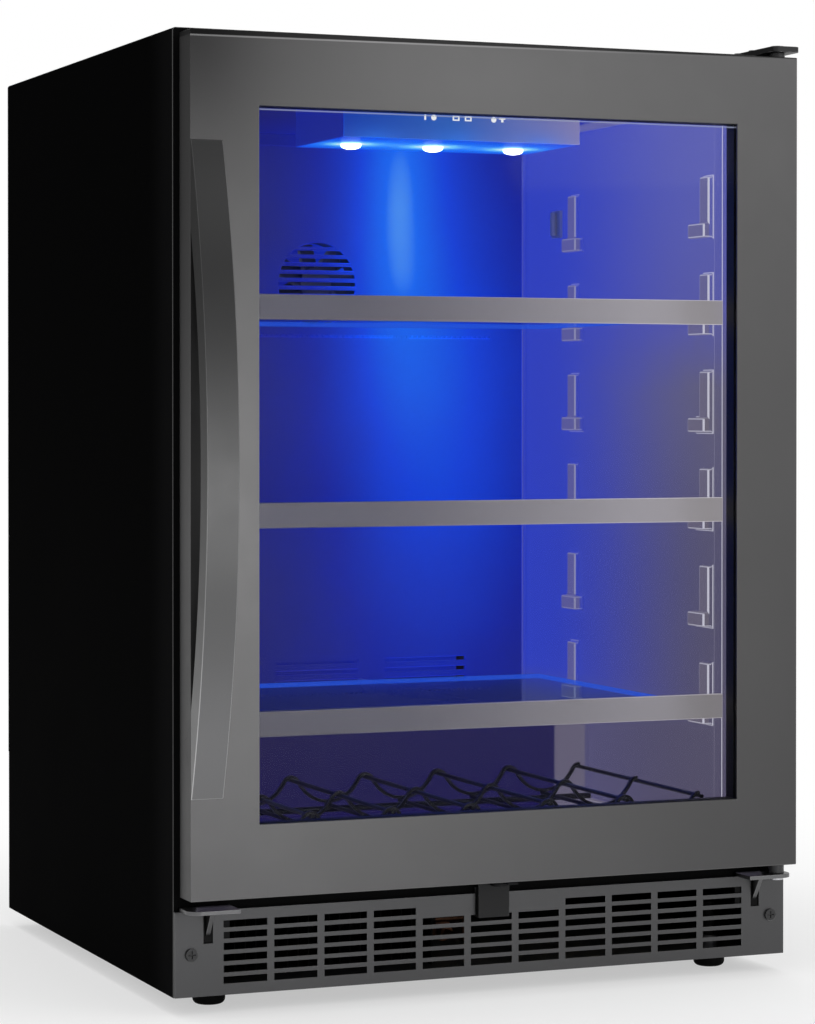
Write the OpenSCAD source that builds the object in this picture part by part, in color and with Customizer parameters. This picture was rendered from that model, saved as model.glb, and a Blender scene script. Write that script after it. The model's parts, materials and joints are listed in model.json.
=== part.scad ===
// Under-counter drinks fridge: steel cabinet on four levelling feet, one glass door hinged on the
// right, three pull-out glass shelves, a wire bottle rack and a compressor space under the liner.
// Own frame: X to the right, Y to the back, Z up, origin on the floor under the middle of the box.
// Inside the modules Y counts from the cabinet's front plane; seated() moves each piece to the frame.

/* [Cabinet] */
// Outside width of the cabinet
cab_w = 595; // [480:1:720]
// Depth of the cabinet without the door
cab_d = 532; // [480:1:660]
// Height of the cabinet's top above the floor
cab_top = 850; // [800:1:1020]
// Height of the cabinet's lower edge above the floor
base_h = 16; // [14:1:22]
// Thickness of the cabinet's sheet metal
sheet = 1.2; // [0.8:0.1:2]
// Bend radius along the two long top edges
bend_r = 3; // [2.5:0.5:6]
// Width of the sheet folded in round the front opening
flange_w = 21.5; // [18:0.5:24]

/* [Inner liner and insulation] */
// Thickness of each side wall, from the outside to the liner's face
side_wall = 45.5; // [42:0.5:60]
// Thickness of the top wall, from the outside to the liner's face
top_wall = 45; // [42:0.5:60]
// Thickness of the back wall, from the outside to the liner's face
back_wall = 62; // [50:1:80]
// Height of the liner's floor above the room's floor
floor_z = 122; // [118:1:126]
// Thickness of the moulded liner
liner_t = 2; // [1.5:0.1:3]
// Depth of the step over the compressor
step_len = 152; // [150:1:170]
// Height of the step over the compressor
step_h = 85; // [80:1:88]
// Insulation under the floor and the step
foam_t = 28; // [20:1:29]
// Height of the lowest shelf support's foot
rib_z0 = 226; // [222:0.5:232]
// Height from one shelf support to the next
rib_pitch = 91.5; // [80:0.5:100]
// Height of one shelf support
rib_h = 57.5; // [40:0.5:65]
// Height of a shelf support's foot
rib_foot_h = 13.8; // [10:0.1:18]

/* [Door] */
// Thickness of the door without its gasket
door_t = 30.6; // [28:0.1:45]
// Gap from the cabinet's front to the back of the door
door_gap = 5; // [5:0.1:7]
// Distance of the door's edge inside the cabinet's side
door_inset = 4.2; // [3:0.1:6]
// Height of the door's lower edge above the floor
door_low = 103.4; // [102.4:0.1:104.4]
// Drop of the door's top edge below the cabinet's top
door_drop = 5.1; // [4:0.1:8]
// Width of the frame's side members
stile_w = 62.3; // [50:0.1:75]
// Height of the frame's upper member
top_rail = 63.2; // [50:0.1:75]
// Height of the frame's lower member
low_rail = 63.4; // [50:0.1:75]
// Thickness of the frame's sheet metal
skin = 1.2; // [0.8:0.1:1.2]
// Thickness of each glass pane
pane_t = 4; // [3:0.5:4]
// Air gap between the two panes
pane_gap = 12; // [8:0.5:12]
// Distance of the hinge axis inside the door's edge
hinge_in = 12.3; // [12:0.1:14]
// Distance of the hinge axis behind the door's front face
hinge_back = 15.6; // [14:0.1:17]
// Radius of the two hinge pins
pin_r = 4; // [3:0.1:4.5]
// Radial clearance of a pin, barrel or shaft in its hole
fit = 0.05; // [0.02:0.01:0.1]

/* [Handle] */
// Length of the handle
handle_len = 560.6; // [400:0.1:640]
// Distance of the handle's middle below the door's middle
handle_drop = 3.35; // [0:0.05:40]
// Width of the handle across the door
handle_w = 28.8; // [20:0.1:40]
// How far the handle's middle stands out from the door
handle_bow = 44; // [36:0.5:60]
// Thickness of the handle in its middle
handle_t = 17.5; // [12:0.5:20]
// Length of the gap behind the handle
grip_len = 410; // [300:1:440]

/* [Kick grille and feet] */
// Spacing of the air slots across the grille
slot_pitch = 46.6; // [40:0.1:60]
// Width of one air slot
slot_w = 40; // [30:0.1:44]
// Spacing of the rows of air slots
row_pitch = 9.7; // [8.5:0.1:10.5]
// Height of one air slot
slot_h = 5.9; // [4:0.1:7]
// Height of the grille's top edge above the floor
grille_high = 90.5; // [86:0.1:90.6]
// Distance of a foot's axis inside the cabinet's side
foot_in = 49.5; // [40:0.5:60]
// Radius of a foot's pad
foot_r = 14.5; // [12:0.5:18]
// How far a foot can be screwed out
foot_travel = 20; // [10:1:22]

/* [Shelves and rack] */
// Thickness of a glass shelf
shelf_t = 5; // [4:0.5:6]
// Height of a shelf's front trim
trim_h = 22.5; // [16:0.5:30]
// Distance of a shelf's front trim behind the cabinet's front plane
trim_y = 22; // [18:0.5:26]
// Radius of the rack's long arcs that hold the bottles
cradle_r = 34; // [30:0.5:38]
// Radius of the rack's short arcs between the bottles
crest_r = 8; // [6:0.5:12]

/* [Controls and lamps] */
// Width of the control box under the liner's top
control_w = 234; // [160:1:300]
// Depth of the control box
control_d = 122; // [100:1:160]
// Height of the control box
control_h = 38.5; // [30:0.5:45]
// Spacing of the three lamps
lamp_pitch = 82; // [50:1:95]

/* [Hidden] */
$fn = 64;
FINE = 720; // segments of the handle's two large arcs
LOW = -1000; // well below and outside everything, for cutting shapes
HIGH = 2000;

half_w = cab_w / 2;
in_half = half_w - side_wall;
in_top = cab_top - top_wall;
in_back = cab_d - back_wall;
step_y = in_back - step_len;
step_z = floor_z + step_h;
open_half = half_w - flange_w;
open_top = cab_top - flange_w - 0.5;
liner_low = 98; // lower edge of the liner's front flange
foam_front = liner_t;
foam_floor = floor_z - liner_t - foam_t;
foam_step = step_z - liner_t - foam_t - 2;
foam_wall_y = step_y + liner_t + foam_t - 1;
panel_y = cab_d - sheet;

door_front = -(door_gap + door_t);
door_back = -door_gap;
door_half = half_w - door_inset;
door_high = cab_top - door_drop;
door_mid = (door_low + door_high) / 2;
win_half = door_half - stile_w;
win_low = door_low + low_rail;
win_high = door_high - top_rail;
pane_y = door_front + 2.6; // front face of the outer pane
inner_pane_y = pane_y + pane_t + pane_gap;
core_back = inner_pane_y + pane_t;
pane_lap = 14; // how far the panes reach behind the frame
hinge_x = door_half - hinge_in;
hinge_y = door_front + hinge_back;
bush_r = pin_r + 1.5;
bush_len = 15;
collar_r = 7;
seal_out = open_half - 1; // outer half width of the gasket
seal_w = 18;
seal_low = liner_low + 8;
seal_high = open_top - 1;
seal_gap = 0.3; // gasket to cabinet

handle_x0 = -door_half;
handle_x = handle_x0 + handle_w / 2;
handle_z = door_mid - handle_drop;
grip_bow = handle_bow - handle_t;
screw_z = handle_len / 2 - 28;

plate_t = 3.5; // lower brackets
plate_z = grille_high + 0.3;
plate_top = plate_z + plate_t;
gusset_x = hinge_x - 14;
lower_r = 12;
upper_out = 16.4; // how far the upper plate reaches out from the pin,
upper_in = 11; // in from it
upper_front = 14; // and to the front
upper_r = 5; // radius of its front corners
upper_t = 5.2;
upper_head = 1.2; // height of the pin's and the screws' heads on it
web_z = 62;
web_t = 3;
bracket_in = hinge_x - 34; // inner end of a lower bracket
bracket_out = hinge_x + lower_r;
flush_screws = [[hinge_x + 3.5, 76], [hinge_x - 26, 86]];
top_screws = [[hinge_x - 4, 18], [hinge_x - 4, 46], [hinge_x + 5, 32]];
screw_r = 2;

grille_y = -4.5;
grille_t = 1.2;
grille_half = half_w - 0.3;
grille_low = base_h + 0.5;
grille_margin = 41;
grille_screw = [half_w - 15, 53.3];
slot_rows = 6;
slot_top = 80.8; // upper edge of the top row
slot_cols = floor((cab_w - 2 * grille_margin) / slot_pitch);
notch_half = 15.6;
notch_z = 67.5;
rail_z = 82;

strike_half = 15;
strike_y = -10;
strike_t = 2;
strike_low = 69;
strike_back = 95.5; // top of its back plate
strike_mid = 99; // top of the front tab under the cam
strike_high = 101.5; // top of the half that the hook holds
barrel_y = -21;
barrel_r = 6;
barrel_low = 98.4;
barrel_high = 122;
cam_z = strike_mid + 0.3;
cam_t = 2;

base_top = base_h + 1.5;
foot_ys = [50, cab_d - 52];
stud_r = 5;
stud_top = 60;
boss_top = 29;

rib_proud = 5;
foot_proud = 10;
rib_y = 50.5;
rib_w = 18.2;
rib_foot_y = rib_y;
rib_foot_l = 32.4;
rear_foot_y = in_back - 140;
rib_levels = floor((in_top - rib_z0 - rib_h - 20) / rib_pitch) + 1;
ridge_y = 26.9;
ridge_w = 16.8;
ridge_proud = 2.5;
shelf_levels = [4, 2, 0];
seat_gap = 0.2;
shelf_half = in_half - rib_proud - 0.8;
trim_half = in_half - 4.5;
trim_t = 1.5;
shelf_back = in_back - 46;

ledge_y = 34;
ledge_h = 5.8;
cross_r = 3;
wire_r = 2;
cross_z = floor_z + ledge_h + seat_gap + cross_r;
strip_t = 3;
cradle_rod_z = cross_z + cross_r + wire_r - 0.5;
wave_z = cradle_rod_z + wire_r + strip_t / 2 - 0.4; // lowest point of the waved strips
knuckle = 0.05; // an elbow stands this far proud of its tube
arc_angle = 60;
flank = 5; // straight strip between a long and a short arc
cradle_pitch = 2 * ((cradle_r + crest_r) * sin(arc_angle) + flank * cos(arc_angle));
rack_half = in_half - 7;
cradles = floor(2 * rack_half / cradle_pitch);
crest_z = wave_z + (cradle_r + crest_r) * (1 - cos(arc_angle)) + flank * sin(arc_angle);
rack_front = 42;
rack_back = step_y - 18;

cover_y = in_back - 38;
cover_t = 2.5;
cover_half = in_half - 22;
cover_low = step_z + 0.3;
cover_high = in_top - 15;
coil_y = in_back - 17;
coil_z = 310;
coil_pitch = 40;
coil_half = 130;
passes = 6;
tube_r = 4;
cool_fan = [0, 650]; // x and z of the evaporator fan's axis
cool_fan_w = 92;
heat_fan = [-120, 84];
heat_fan_w = 120;
heat_fan_y = foam_wall_y + 6;
cond_x0 = -250;
cond_x1 = -30;
cond_y = 80;
cond_z = 55;
cond_pitch = 38;
comp = [150, in_back - 40];
comp_r = 72;
comp_z = 30;
comp_h = 130;
tray = [-285, in_back - 70];
tray_d = 66;
cover_back_y = cab_d - 13;
gland = [-230, 50];
gland_r = 8;
gland_bore = 3.75;

control_y = 60;
control_low = in_top - control_h;
lamp_y = control_y + 70;
lamp_r = 8;

mid_y = (cab_d + door_front - handle_bow) / 2;

// ---------- helpers ----------

module seated() translate([0, -mid_y, 0]) children();

// A block between two opposite corners.
module block(lo, hi) translate(lo) cube(hi - lo);

// A 2D shape in X and Z, made thick from y0 to y1.
module along_y(y0, y1) translate([0, y1, 0]) rotate([90, 0, 0]) linear_extrude(y1 - y0) children();

// A 2D shape in Y and Z, made thick from x0 to x1.
module along_x(x0, x1) translate([x0, 0, 0]) rotate([90, 0, 90]) linear_extrude(x1 - x0) children();

module rect(lo, hi) translate(lo) square(hi - lo);

// A rectangular ring in 2D, symmetrical about x = 0.
module ring(out_half, out_low, out_high, in_half_w, in_low, in_high) {
    difference() {
        rect([-out_half, out_low], [out_half, out_high]);
        rect([-in_half_w, in_low], [in_half_w, in_high]);
    }
}

// A round bar from a to b.
module rod(a, b, r) {
    v = b - a;
    tilt = atan2(norm([v[0], v[1]]), v[2]);
    translate(a) rotate([0, tilt, atan2(v[1], v[0])]) cylinder(h = norm(v), r = r);
}

// A bent tube through the points; a slightly proud ball closes each elbow.
module route(points, r) {
    for (i = [0 : len(points) - 2]) rod(points[i], points[i + 1], r);
    for (i = [1 : len(points) - 2]) translate(points[i]) sphere(r = r + knuckle);
}

// A bore along Y at x and z, from y0 to y1.
module bore_y(xz, y0, y1, r) translate([xz[0], y1, xz[1]]) rotate([90, 0, 0]) cylinder(h = y1 - y0, r = r);

module upright(xy, z0, z1, r) translate([xy[0], xy[1], z0]) cylinder(h = z1 - z0, r = r);

// ---------- cabinet ----------

module wrap_outline(t) {
    r = bend_r - t;
    w = half_w - t;
    top = cab_top - t;
    rect([-w, base_h], [w, top - r]);
    rect([-w + r, base_h], [w - r, top]);
    for (s = [-1, 1]) translate([s * (w - r), top - r]) circle(r = r);
}

module cabinet_wrap() {
    color([0.03, 0.03, 0.03]) seated() difference() {
        union() {
            along_y(0, panel_y) difference() {
                wrap_outline(0);
                wrap_outline(sheet);
                rect([-half_w + sheet, LOW], [half_w - sheet, cab_top / 2]);
            }
            along_y(0, sheet) difference() {
                wrap_outline(0);
                rect([-open_half, LOW], [open_half, open_top]);
            }
        }
        for (s = [-1, 1]) {
            bore_y([s * grille_screw[0], grille_screw[1]], -1, 3, screw_r + 0.1);
            bore_y([s * flush_screws[0][0], flush_screws[0][1]], -1, 3, screw_r + 0.1);
        }
        for (p = top_screws) upright(p, cab_top - 5, cab_top + 1, screw_r + 0.1);
    }
}

module back_panel() {
    color([0.05, 0.05, 0.05]) seated() along_y(panel_y, cab_d) intersection() {
        wrap_outline(0);
        rect([-half_w, foam_step], [half_w, HIGH]);
    }
}

module foot_places() {
    for (s = [-1, 1], y = foot_ys) translate([s * (half_w - foot_in), y, 0]) children();
}

module base_pan() {
    w = half_w - sheet;
    color([0.12, 0.12, 0.12]) seated() difference() {
        union() {
            block([-w, sheet + 0.5, base_h], [w, cover_back_y - sheet, base_top]);
            block([-w, cover_back_y - sheet - 1.5, base_h], [w, cover_back_y - sheet, 38]);
            foot_places() cylinder(h = boss_top, r = stud_r + 4);
        }
        foot_places() translate([0, 0, -1]) cylinder(h = boss_top + 2, r = stud_r);
        foot_places() translate([0, 0, -1]) cylinder(h = base_h + 1, r = stud_r + 5);
        for (s = [-1, 1]) bore_y([s * 200, 30], cover_back_y - 6, cover_back_y, screw_r + 0.1);
    }
}

module front_rail() {
    color([0.04, 0.04, 0.04]) seated() difference() {
        union() {
            block([-open_half, 0, rail_z], [open_half, 1.5, liner_low]);
            block([-open_half, 1.5, rail_z], [open_half, 14, rail_z + 1.5]);
        }
        for (s = [-1, 1]) bore_y([s * flush_screws[1][0], flush_screws[1][1]], -1, 3, screw_r + 0.1);
    }
}

// Side view of the liner's space, made larger all round by t.
module cavity_outline(t, front) {
    polygon([
        [front, floor_z - t], [step_y + t, floor_z - t], [step_y + t, step_z - t],
        [in_back + t, step_z - t], [in_back + t, in_top + t], [front, in_top + t]
    ]);
}

drain = [-240, in_back - 20];
suction_hole = [40, coil_y];
capillary_hole = [56, coil_y + 8];

module insulation() {
    w = half_w - sheet;
    color([0.85, 0.78, 0.5]) seated() difference() {
        along_x(-w, w) polygon([
            [foam_front, foam_floor], [foam_wall_y, foam_floor], [foam_wall_y, foam_step],
            [panel_y, foam_step], [panel_y, cab_top - sheet], [foam_front, cab_top - sheet]
        ]);
        along_x(-in_half - liner_t, in_half + liner_t) cavity_outline(liner_t, foam_front - 1);
        for (p = top_screws) upright(p, cab_top - 16, cab_top, screw_r + 0.6);
        for (s = [-1, 1]) along_y(0, panel_y + 1) translate([s * (half_w - bend_r), cab_top - bend_r]) difference() {
            rect([s > 0 ? 0 : -bend_r, 0], [s > 0 ? bend_r : 0, bend_r]);
            circle(r = bend_r - sheet);
        }
        upright(drain, foam_step - 1, step_z, 7);
        upright(suction_hole, foam_step - 1, step_z, 5);
        upright(capillary_hole, foam_step - 1, step_z, 2.5);
    }
}

// One shelf support: an upright bar that stands on a longer foot.
module shelf_support(z, y_bar, y_foot) {
    block([in_half - rib_proud, y_bar, z], [in_half + 0.5, y_bar + rib_w, z + rib_h]);
    block([in_half - foot_proud, y_foot, z], [in_half + 0.5, y_foot + rib_foot_l, z + rib_foot_h - seat_gap]);
}

module wall_shapes() {
    for (i = [0 : rib_levels - 1]) {
        z = rib_z0 + i * rib_pitch;
        shelf_support(z, rib_y, rib_foot_y);
        shelf_support(z, rear_foot_y + rib_foot_l - rib_w - 4, rear_foot_y);
    }
    block([in_half - ridge_proud, ridge_y, floor_z - 0.5], [in_half + 0.5, ridge_y + ridge_w, in_top + 0.5]);
    block([in_half - foot_proud, ledge_y, floor_z - 0.5], [in_half + 0.5, rack_back + 6, floor_z + ledge_h]);
}

module inner_liner() {
    w = in_half + liner_t;
    color([0.35, 0.36, 0.5]) seated() difference() {
        union() {
            difference() {
                union() {
                    along_x(-w, w) cavity_outline(liner_t, 0);
                    along_y(0, liner_t) rect([-open_half, liner_low], [open_half, open_top]);
                    upright(drain, foam_step - 10, step_z - 1, 7);
                }
                along_x(-in_half, in_half) cavity_outline(0, -1);
            }
            wall_shapes();
            mirror([1, 0, 0]) wall_shapes();
        }
        upright(drain, foam_step - 15, step_z + 1, 5);
        upright(suction_hole, step_z - 5, step_z + 1, 5);
        upright(capillary_hole, step_z - 5, step_z + 1, 2.5);
    }
}

// ---------- kick grille, brackets and strike ----------

module slot_field() {
    for (c = [0 : slot_cols - 1], r = [0 : slot_rows - 1]) {
        x = (c - (slot_cols - 1) / 2) * slot_pitch;
        top = slot_top - r * row_pitch;
        if (r > 0 || abs(x) > 1.4 * slot_pitch)
            rect([x - slot_w / 2, top - slot_h], [x + slot_w / 2, top]);
    }
}

module grille_notches() {
    rect([-notch_half, notch_z], [notch_half, HIGH]);
    for (s = [-1, 1]) rect([s * gusset_x - 4.2, web_z], [s * gusset_x + 4.2, HIGH]);
}

module kick_grille() {
    back = grille_y + grille_t;
    lip = bracket_in - 3;
    color([0.33, 0.33, 0.34]) seated() {
        along_y(grille_y, back) difference() {
            rect([-grille_half, grille_low], [grille_half, grille_high]);
            slot_field();
            grille_notches();
            for (s = [-1, 1]) translate([s * grille_screw[0], grille_screw[1]]) circle(r = screw_r + 0.2);
        }
        along_y(back, 0) union() {
            rect([-grille_half, grille_low], [grille_half, grille_low + grille_t]);
            for (s = [-1, 1]) {
                rect([s * (grille_half - grille_t / 2) - grille_t / 2, grille_low],
                     [s * (grille_half - grille_t / 2) + grille_t / 2, grille_high]);
                rect([s > 0 ? notch_half : -lip, grille_high - grille_t],
                     [s > 0 ? lip : -notch_half, grille_high]);
            }
        }
    }
}

// A screw that points to +Y, its head's underside at y = 0, with a cross recess.
module pan_screw(head_r, head_h, r, length) {
    rotate([-90, 0, 0]) cylinder(h = length, r = r);
    difference() {
        rotate([90, 0, 0]) cylinder(h = head_h, r = head_r);
        for (a = [0, 90]) rotate([0, a, 0])
            block([-head_r * 0.6, -head_h - 1, -0.5], [head_r * 0.6, -head_h * 0.45, 0.5]);
    }
}

module panel_screws() {
    color([0.02, 0.02, 0.02]) seated() for (s = [-1, 1]) {
        translate([s * grille_screw[0], grille_y, grille_screw[1]]) pan_screw(5.5, 2.4, screw_r, 14);
        translate([s * 200, cover_back_y, 30]) mirror([0, 1, 0]) pan_screw(5, 2.2, screw_r, 8);
    }
}

module flush_screw_shape(grow) {
    rotate([-90, 0, 0]) cylinder(h = 12, r = screw_r + grow);
    rotate([-90, 0, 0]) cylinder(h = 2, r1 = 4 + grow, r2 = screw_r + grow);
}

// The right-hand bracket: web on the cabinet, plate under the door and gusset between them.
module lower_bracket(with_hole) {
    difference() {
        union() {
            block([bracket_in, -web_t, web_z], [bracket_out, 0, plate_top]);
            translate([0, 0, plate_z]) linear_extrude(plate_t) {
                rect([bracket_in, hinge_y], [bracket_out, -web_t]);
                rect([bracket_in, hinge_y - lower_r], [hinge_x, -web_t]);
                translate([hinge_x, hinge_y]) circle(r = lower_r);
            }
            along_x(gusset_x - 2, gusset_x + 2)
                polygon([[-web_t, web_z + 6], [-web_t, plate_z], [-18, plate_z]]);
        }
        for (p = flush_screws) translate([p[0], -web_t, p[1]]) flush_screw_shape(fit);
        if (with_hole) upright([hinge_x, hinge_y], plate_z - 1, plate_top + 1, pin_r + fit);
    }
}

module lower_hinge_bracket() color([0.45, 0.45, 0.46]) seated() lower_bracket(true);

module spare_hinge_bracket() color([0.45, 0.45, 0.46]) seated() mirror([1, 0, 0]) lower_bracket(false);

module upper_hinge_bracket() {
    c = [hinge_x, hinge_y];
    color([0.05, 0.05, 0.05]) seated() difference() {
        translate([0, 0, cab_top]) linear_extrude(upper_t) {
            rect([hinge_x - upper_in, hinge_y - upper_front + upper_r], [hinge_x + upper_out, 58]);
            rect([hinge_x - upper_in + upper_r, hinge_y - upper_front], [hinge_x + upper_out - upper_r, 0]);
            for (x = [upper_r - upper_in, upper_out - upper_r])
                translate(c + [x, upper_r - upper_front]) circle(r = upper_r);
        }
        upright(c, cab_top - 1, cab_top + upper_t + 1, pin_r + fit);
        for (p = top_screws) upright(p, cab_top - 1, cab_top + upper_t + 1, screw_r + 0.1);
    }
}

module hinge_pins() {
    c = [hinge_x, hinge_y];
    top = cab_top + upper_t;
    color([0.6, 0.6, 0.62]) seated() {
        upright(c, plate_z, door_low + 12, pin_r);
        upright(c, plate_z - 2.4, plate_z, 6.5);
        upright(c, door_high - 13, top, pin_r);
        upright(c, top, top + upper_head, 6.5);
    }
}

module hinge_screws() {
    color([0.08, 0.08, 0.08]) seated() {
        for (p = top_screws) translate([p[0], p[1], cab_top + upper_t]) rotate([-90, 0, 0])
            pan_screw(4.5, upper_head, screw_r, 16);
        for (s = [-1, 1], p = flush_screws) translate([s * p[0], -web_t, p[1]]) flush_screw_shape(0);
    }
}

// A U of sheet open to the top: front tab with a higher left half, foot and back plate.
module lock_strike() {
    color([0.18, 0.18, 0.19]) seated() {
        block([-strike_half, strike_y, strike_low], [strike_half, strike_y + strike_t, strike_mid]);
        block([-strike_half, strike_y, strike_mid], [-5, strike_y + strike_t, strike_high]);
        block([-strike_half, strike_y + strike_t, strike_low],
            [strike_half, -strike_t, strike_low + strike_t]);
        block([-strike_half, -strike_t, strike_low], [strike_half, 0, strike_back]);
    }
}

// ---------- compressor space ----------

module compressor() {
    neck = comp_h / 2;
    c = comp_r - 22;
    color([0.04, 0.04, 0.04]) seated() translate([comp[0], comp[1], comp_z]) {
        difference() {
            union() {
                rotate_extrude() union() {
                    rect([0, 0], [c, comp_h]);
                    rect([0, 22], [comp_r, comp_h - 22]);
                    translate([c, 22]) circle(r = 22);
                    translate([c, comp_h - 22]) circle(r = 22);
                    rect([0, neck - 2], [comp_r + 4, neck + 2]);
                }
                block([-88, -60, -3], [88, 60, 0]);
            }
            for (x = [-78, 78], y = [-50, 50]) upright([x, y], -5, 2, 4.1);
        }
        rod([-comp_r + 3, -20, 80], [-comp_r - 8, -20, 80], tube_r + 1.5);
        rod([-comp_r + 5, 0, 100], [-comp_r - 4, 0, 100], tube_r + 1.5);
    }
}

module compressor_grommets() {
    color([0.1, 0.1, 0.1]) seated() for (x = [-78, 78], y = [-50, 50])
        translate([comp[0] + x, comp[1] + y, base_top]) {
            cylinder(h = comp_z - 3 - base_top, r = 9);
            cylinder(h = comp_z + 3 - base_top, r = 4);
            translate([0, 0, comp_z - base_top]) cylinder(h = 3, r = 7);
        }
}

module relay_box() {
    color([0.07, 0.07, 0.08]) seated() difference() {
        block([comp[0] + comp_r - 10, comp[1] - 26, comp_z + 26],
            [comp[0] + comp_r + 26, comp[1] + 26, comp_z + 58]);
        upright(comp, comp_z, comp_z + comp_h, comp_r + 0.1);
    }
}

// Straight passes along X joined by half-round bends, with both free ends at the right.
module serpentine_bends(x0, x1, pitch) {
    for (i = [0 : passes - 2]) {
        right = i % 2 == 1;
        translate([right ? x1 : x0, (i + 0.5) * pitch, 0]) rotate([0, 0, right ? -90 : 90])
            rotate_extrude(angle = 180) translate([pitch / 2, 0]) circle(r = tube_r);
    }
}

module serpentine(x0, x1, pitch, tail) {
    for (i = [0 : passes - 1])
        rod([x0, i * pitch, 0], [x1 + (i == 0 || i == passes - 1 ? tail : 0), i * pitch, 0], tube_r);
    serpentine_bends(x0, x1, pitch);
}

// A fin with clearance holes for the passes: 2D, with the passes along the first axis.
module fin_outline(pitch, lo, hi) {
    difference() {
        rect(lo, hi);
        for (i = [0 : passes - 1]) translate([i * pitch, 0]) circle(r = tube_r + 0.1);
    }
}

module condenser() {
    fins = floor((cond_x1 - cond_x0) / 10);
    color([0.55, 0.56, 0.58]) seated() translate([0, cond_y, cond_z]) {
        serpentine(cond_x0, cond_x1, cond_pitch, 10);
        for (i = [1 : fins - 1])
            along_x(cond_x0 + i * 10, cond_x0 + i * 10 + 0.8) fin_outline(cond_pitch, [-18, -31], [208, 31]);
        for (x = [cond_x0, cond_x1 - 1.5])
            along_x(x, x + 1.5) fin_outline(cond_pitch, [-20, base_top - cond_z], [210, 33]);
    }
}

// An axial fan whose air goes along Y: square frame, round duct, motor on three arms.
module fan_frame(w, depth) {
    duct = w / 2 - 3;
    hub = w * 0.19;
    along_y(0, depth) difference() {
        rect([-w / 2, -w / 2], [w / 2, w / 2]);
        circle(r = duct);
        for (x = [-1, 1], z = [-1, 1]) translate([x * (w / 2 - 5), z * (w / 2 - 5)]) circle(r = 2);
    }
    along_y(depth - 4, depth) difference() {
        union() {
            circle(r = hub);
            intersection() {
                circle(r = duct + 1);
                for (a = [30, 150, 270]) rotate(a) rect([0, -2.5], [w / 2, 2.5]);
            }
        }
        circle(r = 2 + fit);
    }
}

module fan_rotor(w, depth, blades) {
    hub = w * 0.18;
    tip = w / 2 - 5;
    back = depth - 5;
    along_y(2, back) circle(r = hub);
    along_y(back, depth - 1) circle(r = 2);
    intersection() {
        along_y(3, back - 1) circle(r = tip);
        for (i = [0 : blades - 1]) rotate([0, i * 360 / blades, 0])
            translate([hub / 2, back / 2 + 1, 0]) rotate([38, 0, 0])
                block([0, -1, -w * 0.17], [w / 2, 1, w * 0.17]);
    }
}

module at_heat_fan() seated() translate([heat_fan[0], heat_fan_y, heat_fan[1]]) children();

module at_cool_fan() seated() translate([cool_fan[0], cover_y + cover_t, cool_fan[1]]) children();

module condenser_fan_frame() {
    color([0.06, 0.06, 0.06]) at_heat_fan() {
        fan_frame(heat_fan_w, 32);
        for (s = [-1, 1]) block([s * 50 - 6, 4, base_top - heat_fan[1]], [s * 50 + 6, 28, -heat_fan_w / 2]);
    }
}

module condenser_fan_rotor() color([0.2, 0.2, 0.21]) at_heat_fan() fan_rotor(heat_fan_w, 32, 7);

module drip_tray() {
    color([0.1, 0.1, 0.1]) seated() translate([tray[0], tray[1], base_top]) difference() {
        block([0, 0, 0], [95, tray_d, 28]);
        block([1.5, 1.5, 1.5], [93.5, tray_d - 1.5, 30]);
    }
}

module filter_drier() {
    color([0.72, 0.45, 0.28]) seated() {
        route([
            [cond_x1 + 10, cond_y, cond_z], [10, cond_y, cond_z], [10, cond_y, 35], [10, 122, 35]
        ], tube_r - 1);
        rod([10, 120, 35], [10, 132, 35], 6);
        rod([10, 130, 35], [10, 200, 35], 10);
        rod([10, 198, 35], [10, 210, 35], 5);
    }
}

module capillary_tube() {
    y = foam_wall_y - 15;
    h = capillary_hole;
    top = coil_z + (passes - 1) * coil_pitch;
    color([0.72, 0.45, 0.28]) seated() route([
        [10, 210, 35], [10, y, 35], [h[0], h[1], 80], [h[0], h[1], step_z + 33],
        [180, h[1], step_z + 33], [180, h[1], top], [coil_half + 10, coil_y, top]
    ], 1.5);
}

module discharge_tube() {
    y = comp[1] - 20;
    x = comp[0] - comp_r - 8;
    end_y = cond_y + (passes - 1) * cond_pitch;
    color([0.72, 0.45, 0.28]) seated() route([
        [x, y, comp_z + 80], [x - 12, y, comp_z + 80], [x - 12, y, 33], [x - 12, end_y, 33],
        [x - 12, end_y, cond_z], [cond_x1 + 10, end_y, cond_z]
    ], tube_r);
}

module suction_tube() {
    h = suction_hole;
    color([0.72, 0.45, 0.28]) seated() route([
        [coil_half + 10, coil_y, coil_z], [168, coil_y, coil_z], [168, coil_y, step_z + 18],
        [h[0], h[1], step_z + 18], [h[0], h[1], comp_z + 100], [h[0], comp[1], comp_z + 100],
        [comp[0] - comp_r - 4, comp[1], comp_z + 100]
    ], tube_r);
}

module power_board_box() {
    color([0.8, 0.8, 0.78]) seated() {
        block([-150, in_back - 60, base_top], [-60, in_back + 30, 58]);
        block([-146, in_back - 56, 58], [-64, in_back + 26, 60]);
    }
}

module machine_cover() {
    w = half_w - sheet - 0.3;
    color([0.07, 0.07, 0.07]) seated() difference() {
        along_y(cover_back_y - sheet, cover_back_y) difference() {
            rect([-w, base_top], [w, foam_step]);
            for (x = [-90, 90], i = [0 : 7]) rect([x - 60, 62 + i * 12], [x + 60, 67 + i * 12]);
            for (s = [-1, 1]) translate([s * 200, 30]) circle(r = screw_r + 0.1);
            translate(gland) circle(r = gland_r + fit);
        }
    }
}

module power_gland() {
    color([0.05, 0.05, 0.05]) seated() difference() {
        union() {
            bore_y(gland, cover_back_y - 6, cover_back_y, gland_r);
            bore_y(gland, cover_back_y - 6, cover_back_y - sheet, gland_r + 2);
            bore_y(gland, cover_back_y, cover_back_y + 3, gland_r + 4);
            bore_y(gland, cover_back_y + 3, cab_d - 1, gland_r - 2);
        }
        bore_y(gland, cover_back_y - 8, cab_d, gland_bore);
    }
}

// ---------- cold side ----------

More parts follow.
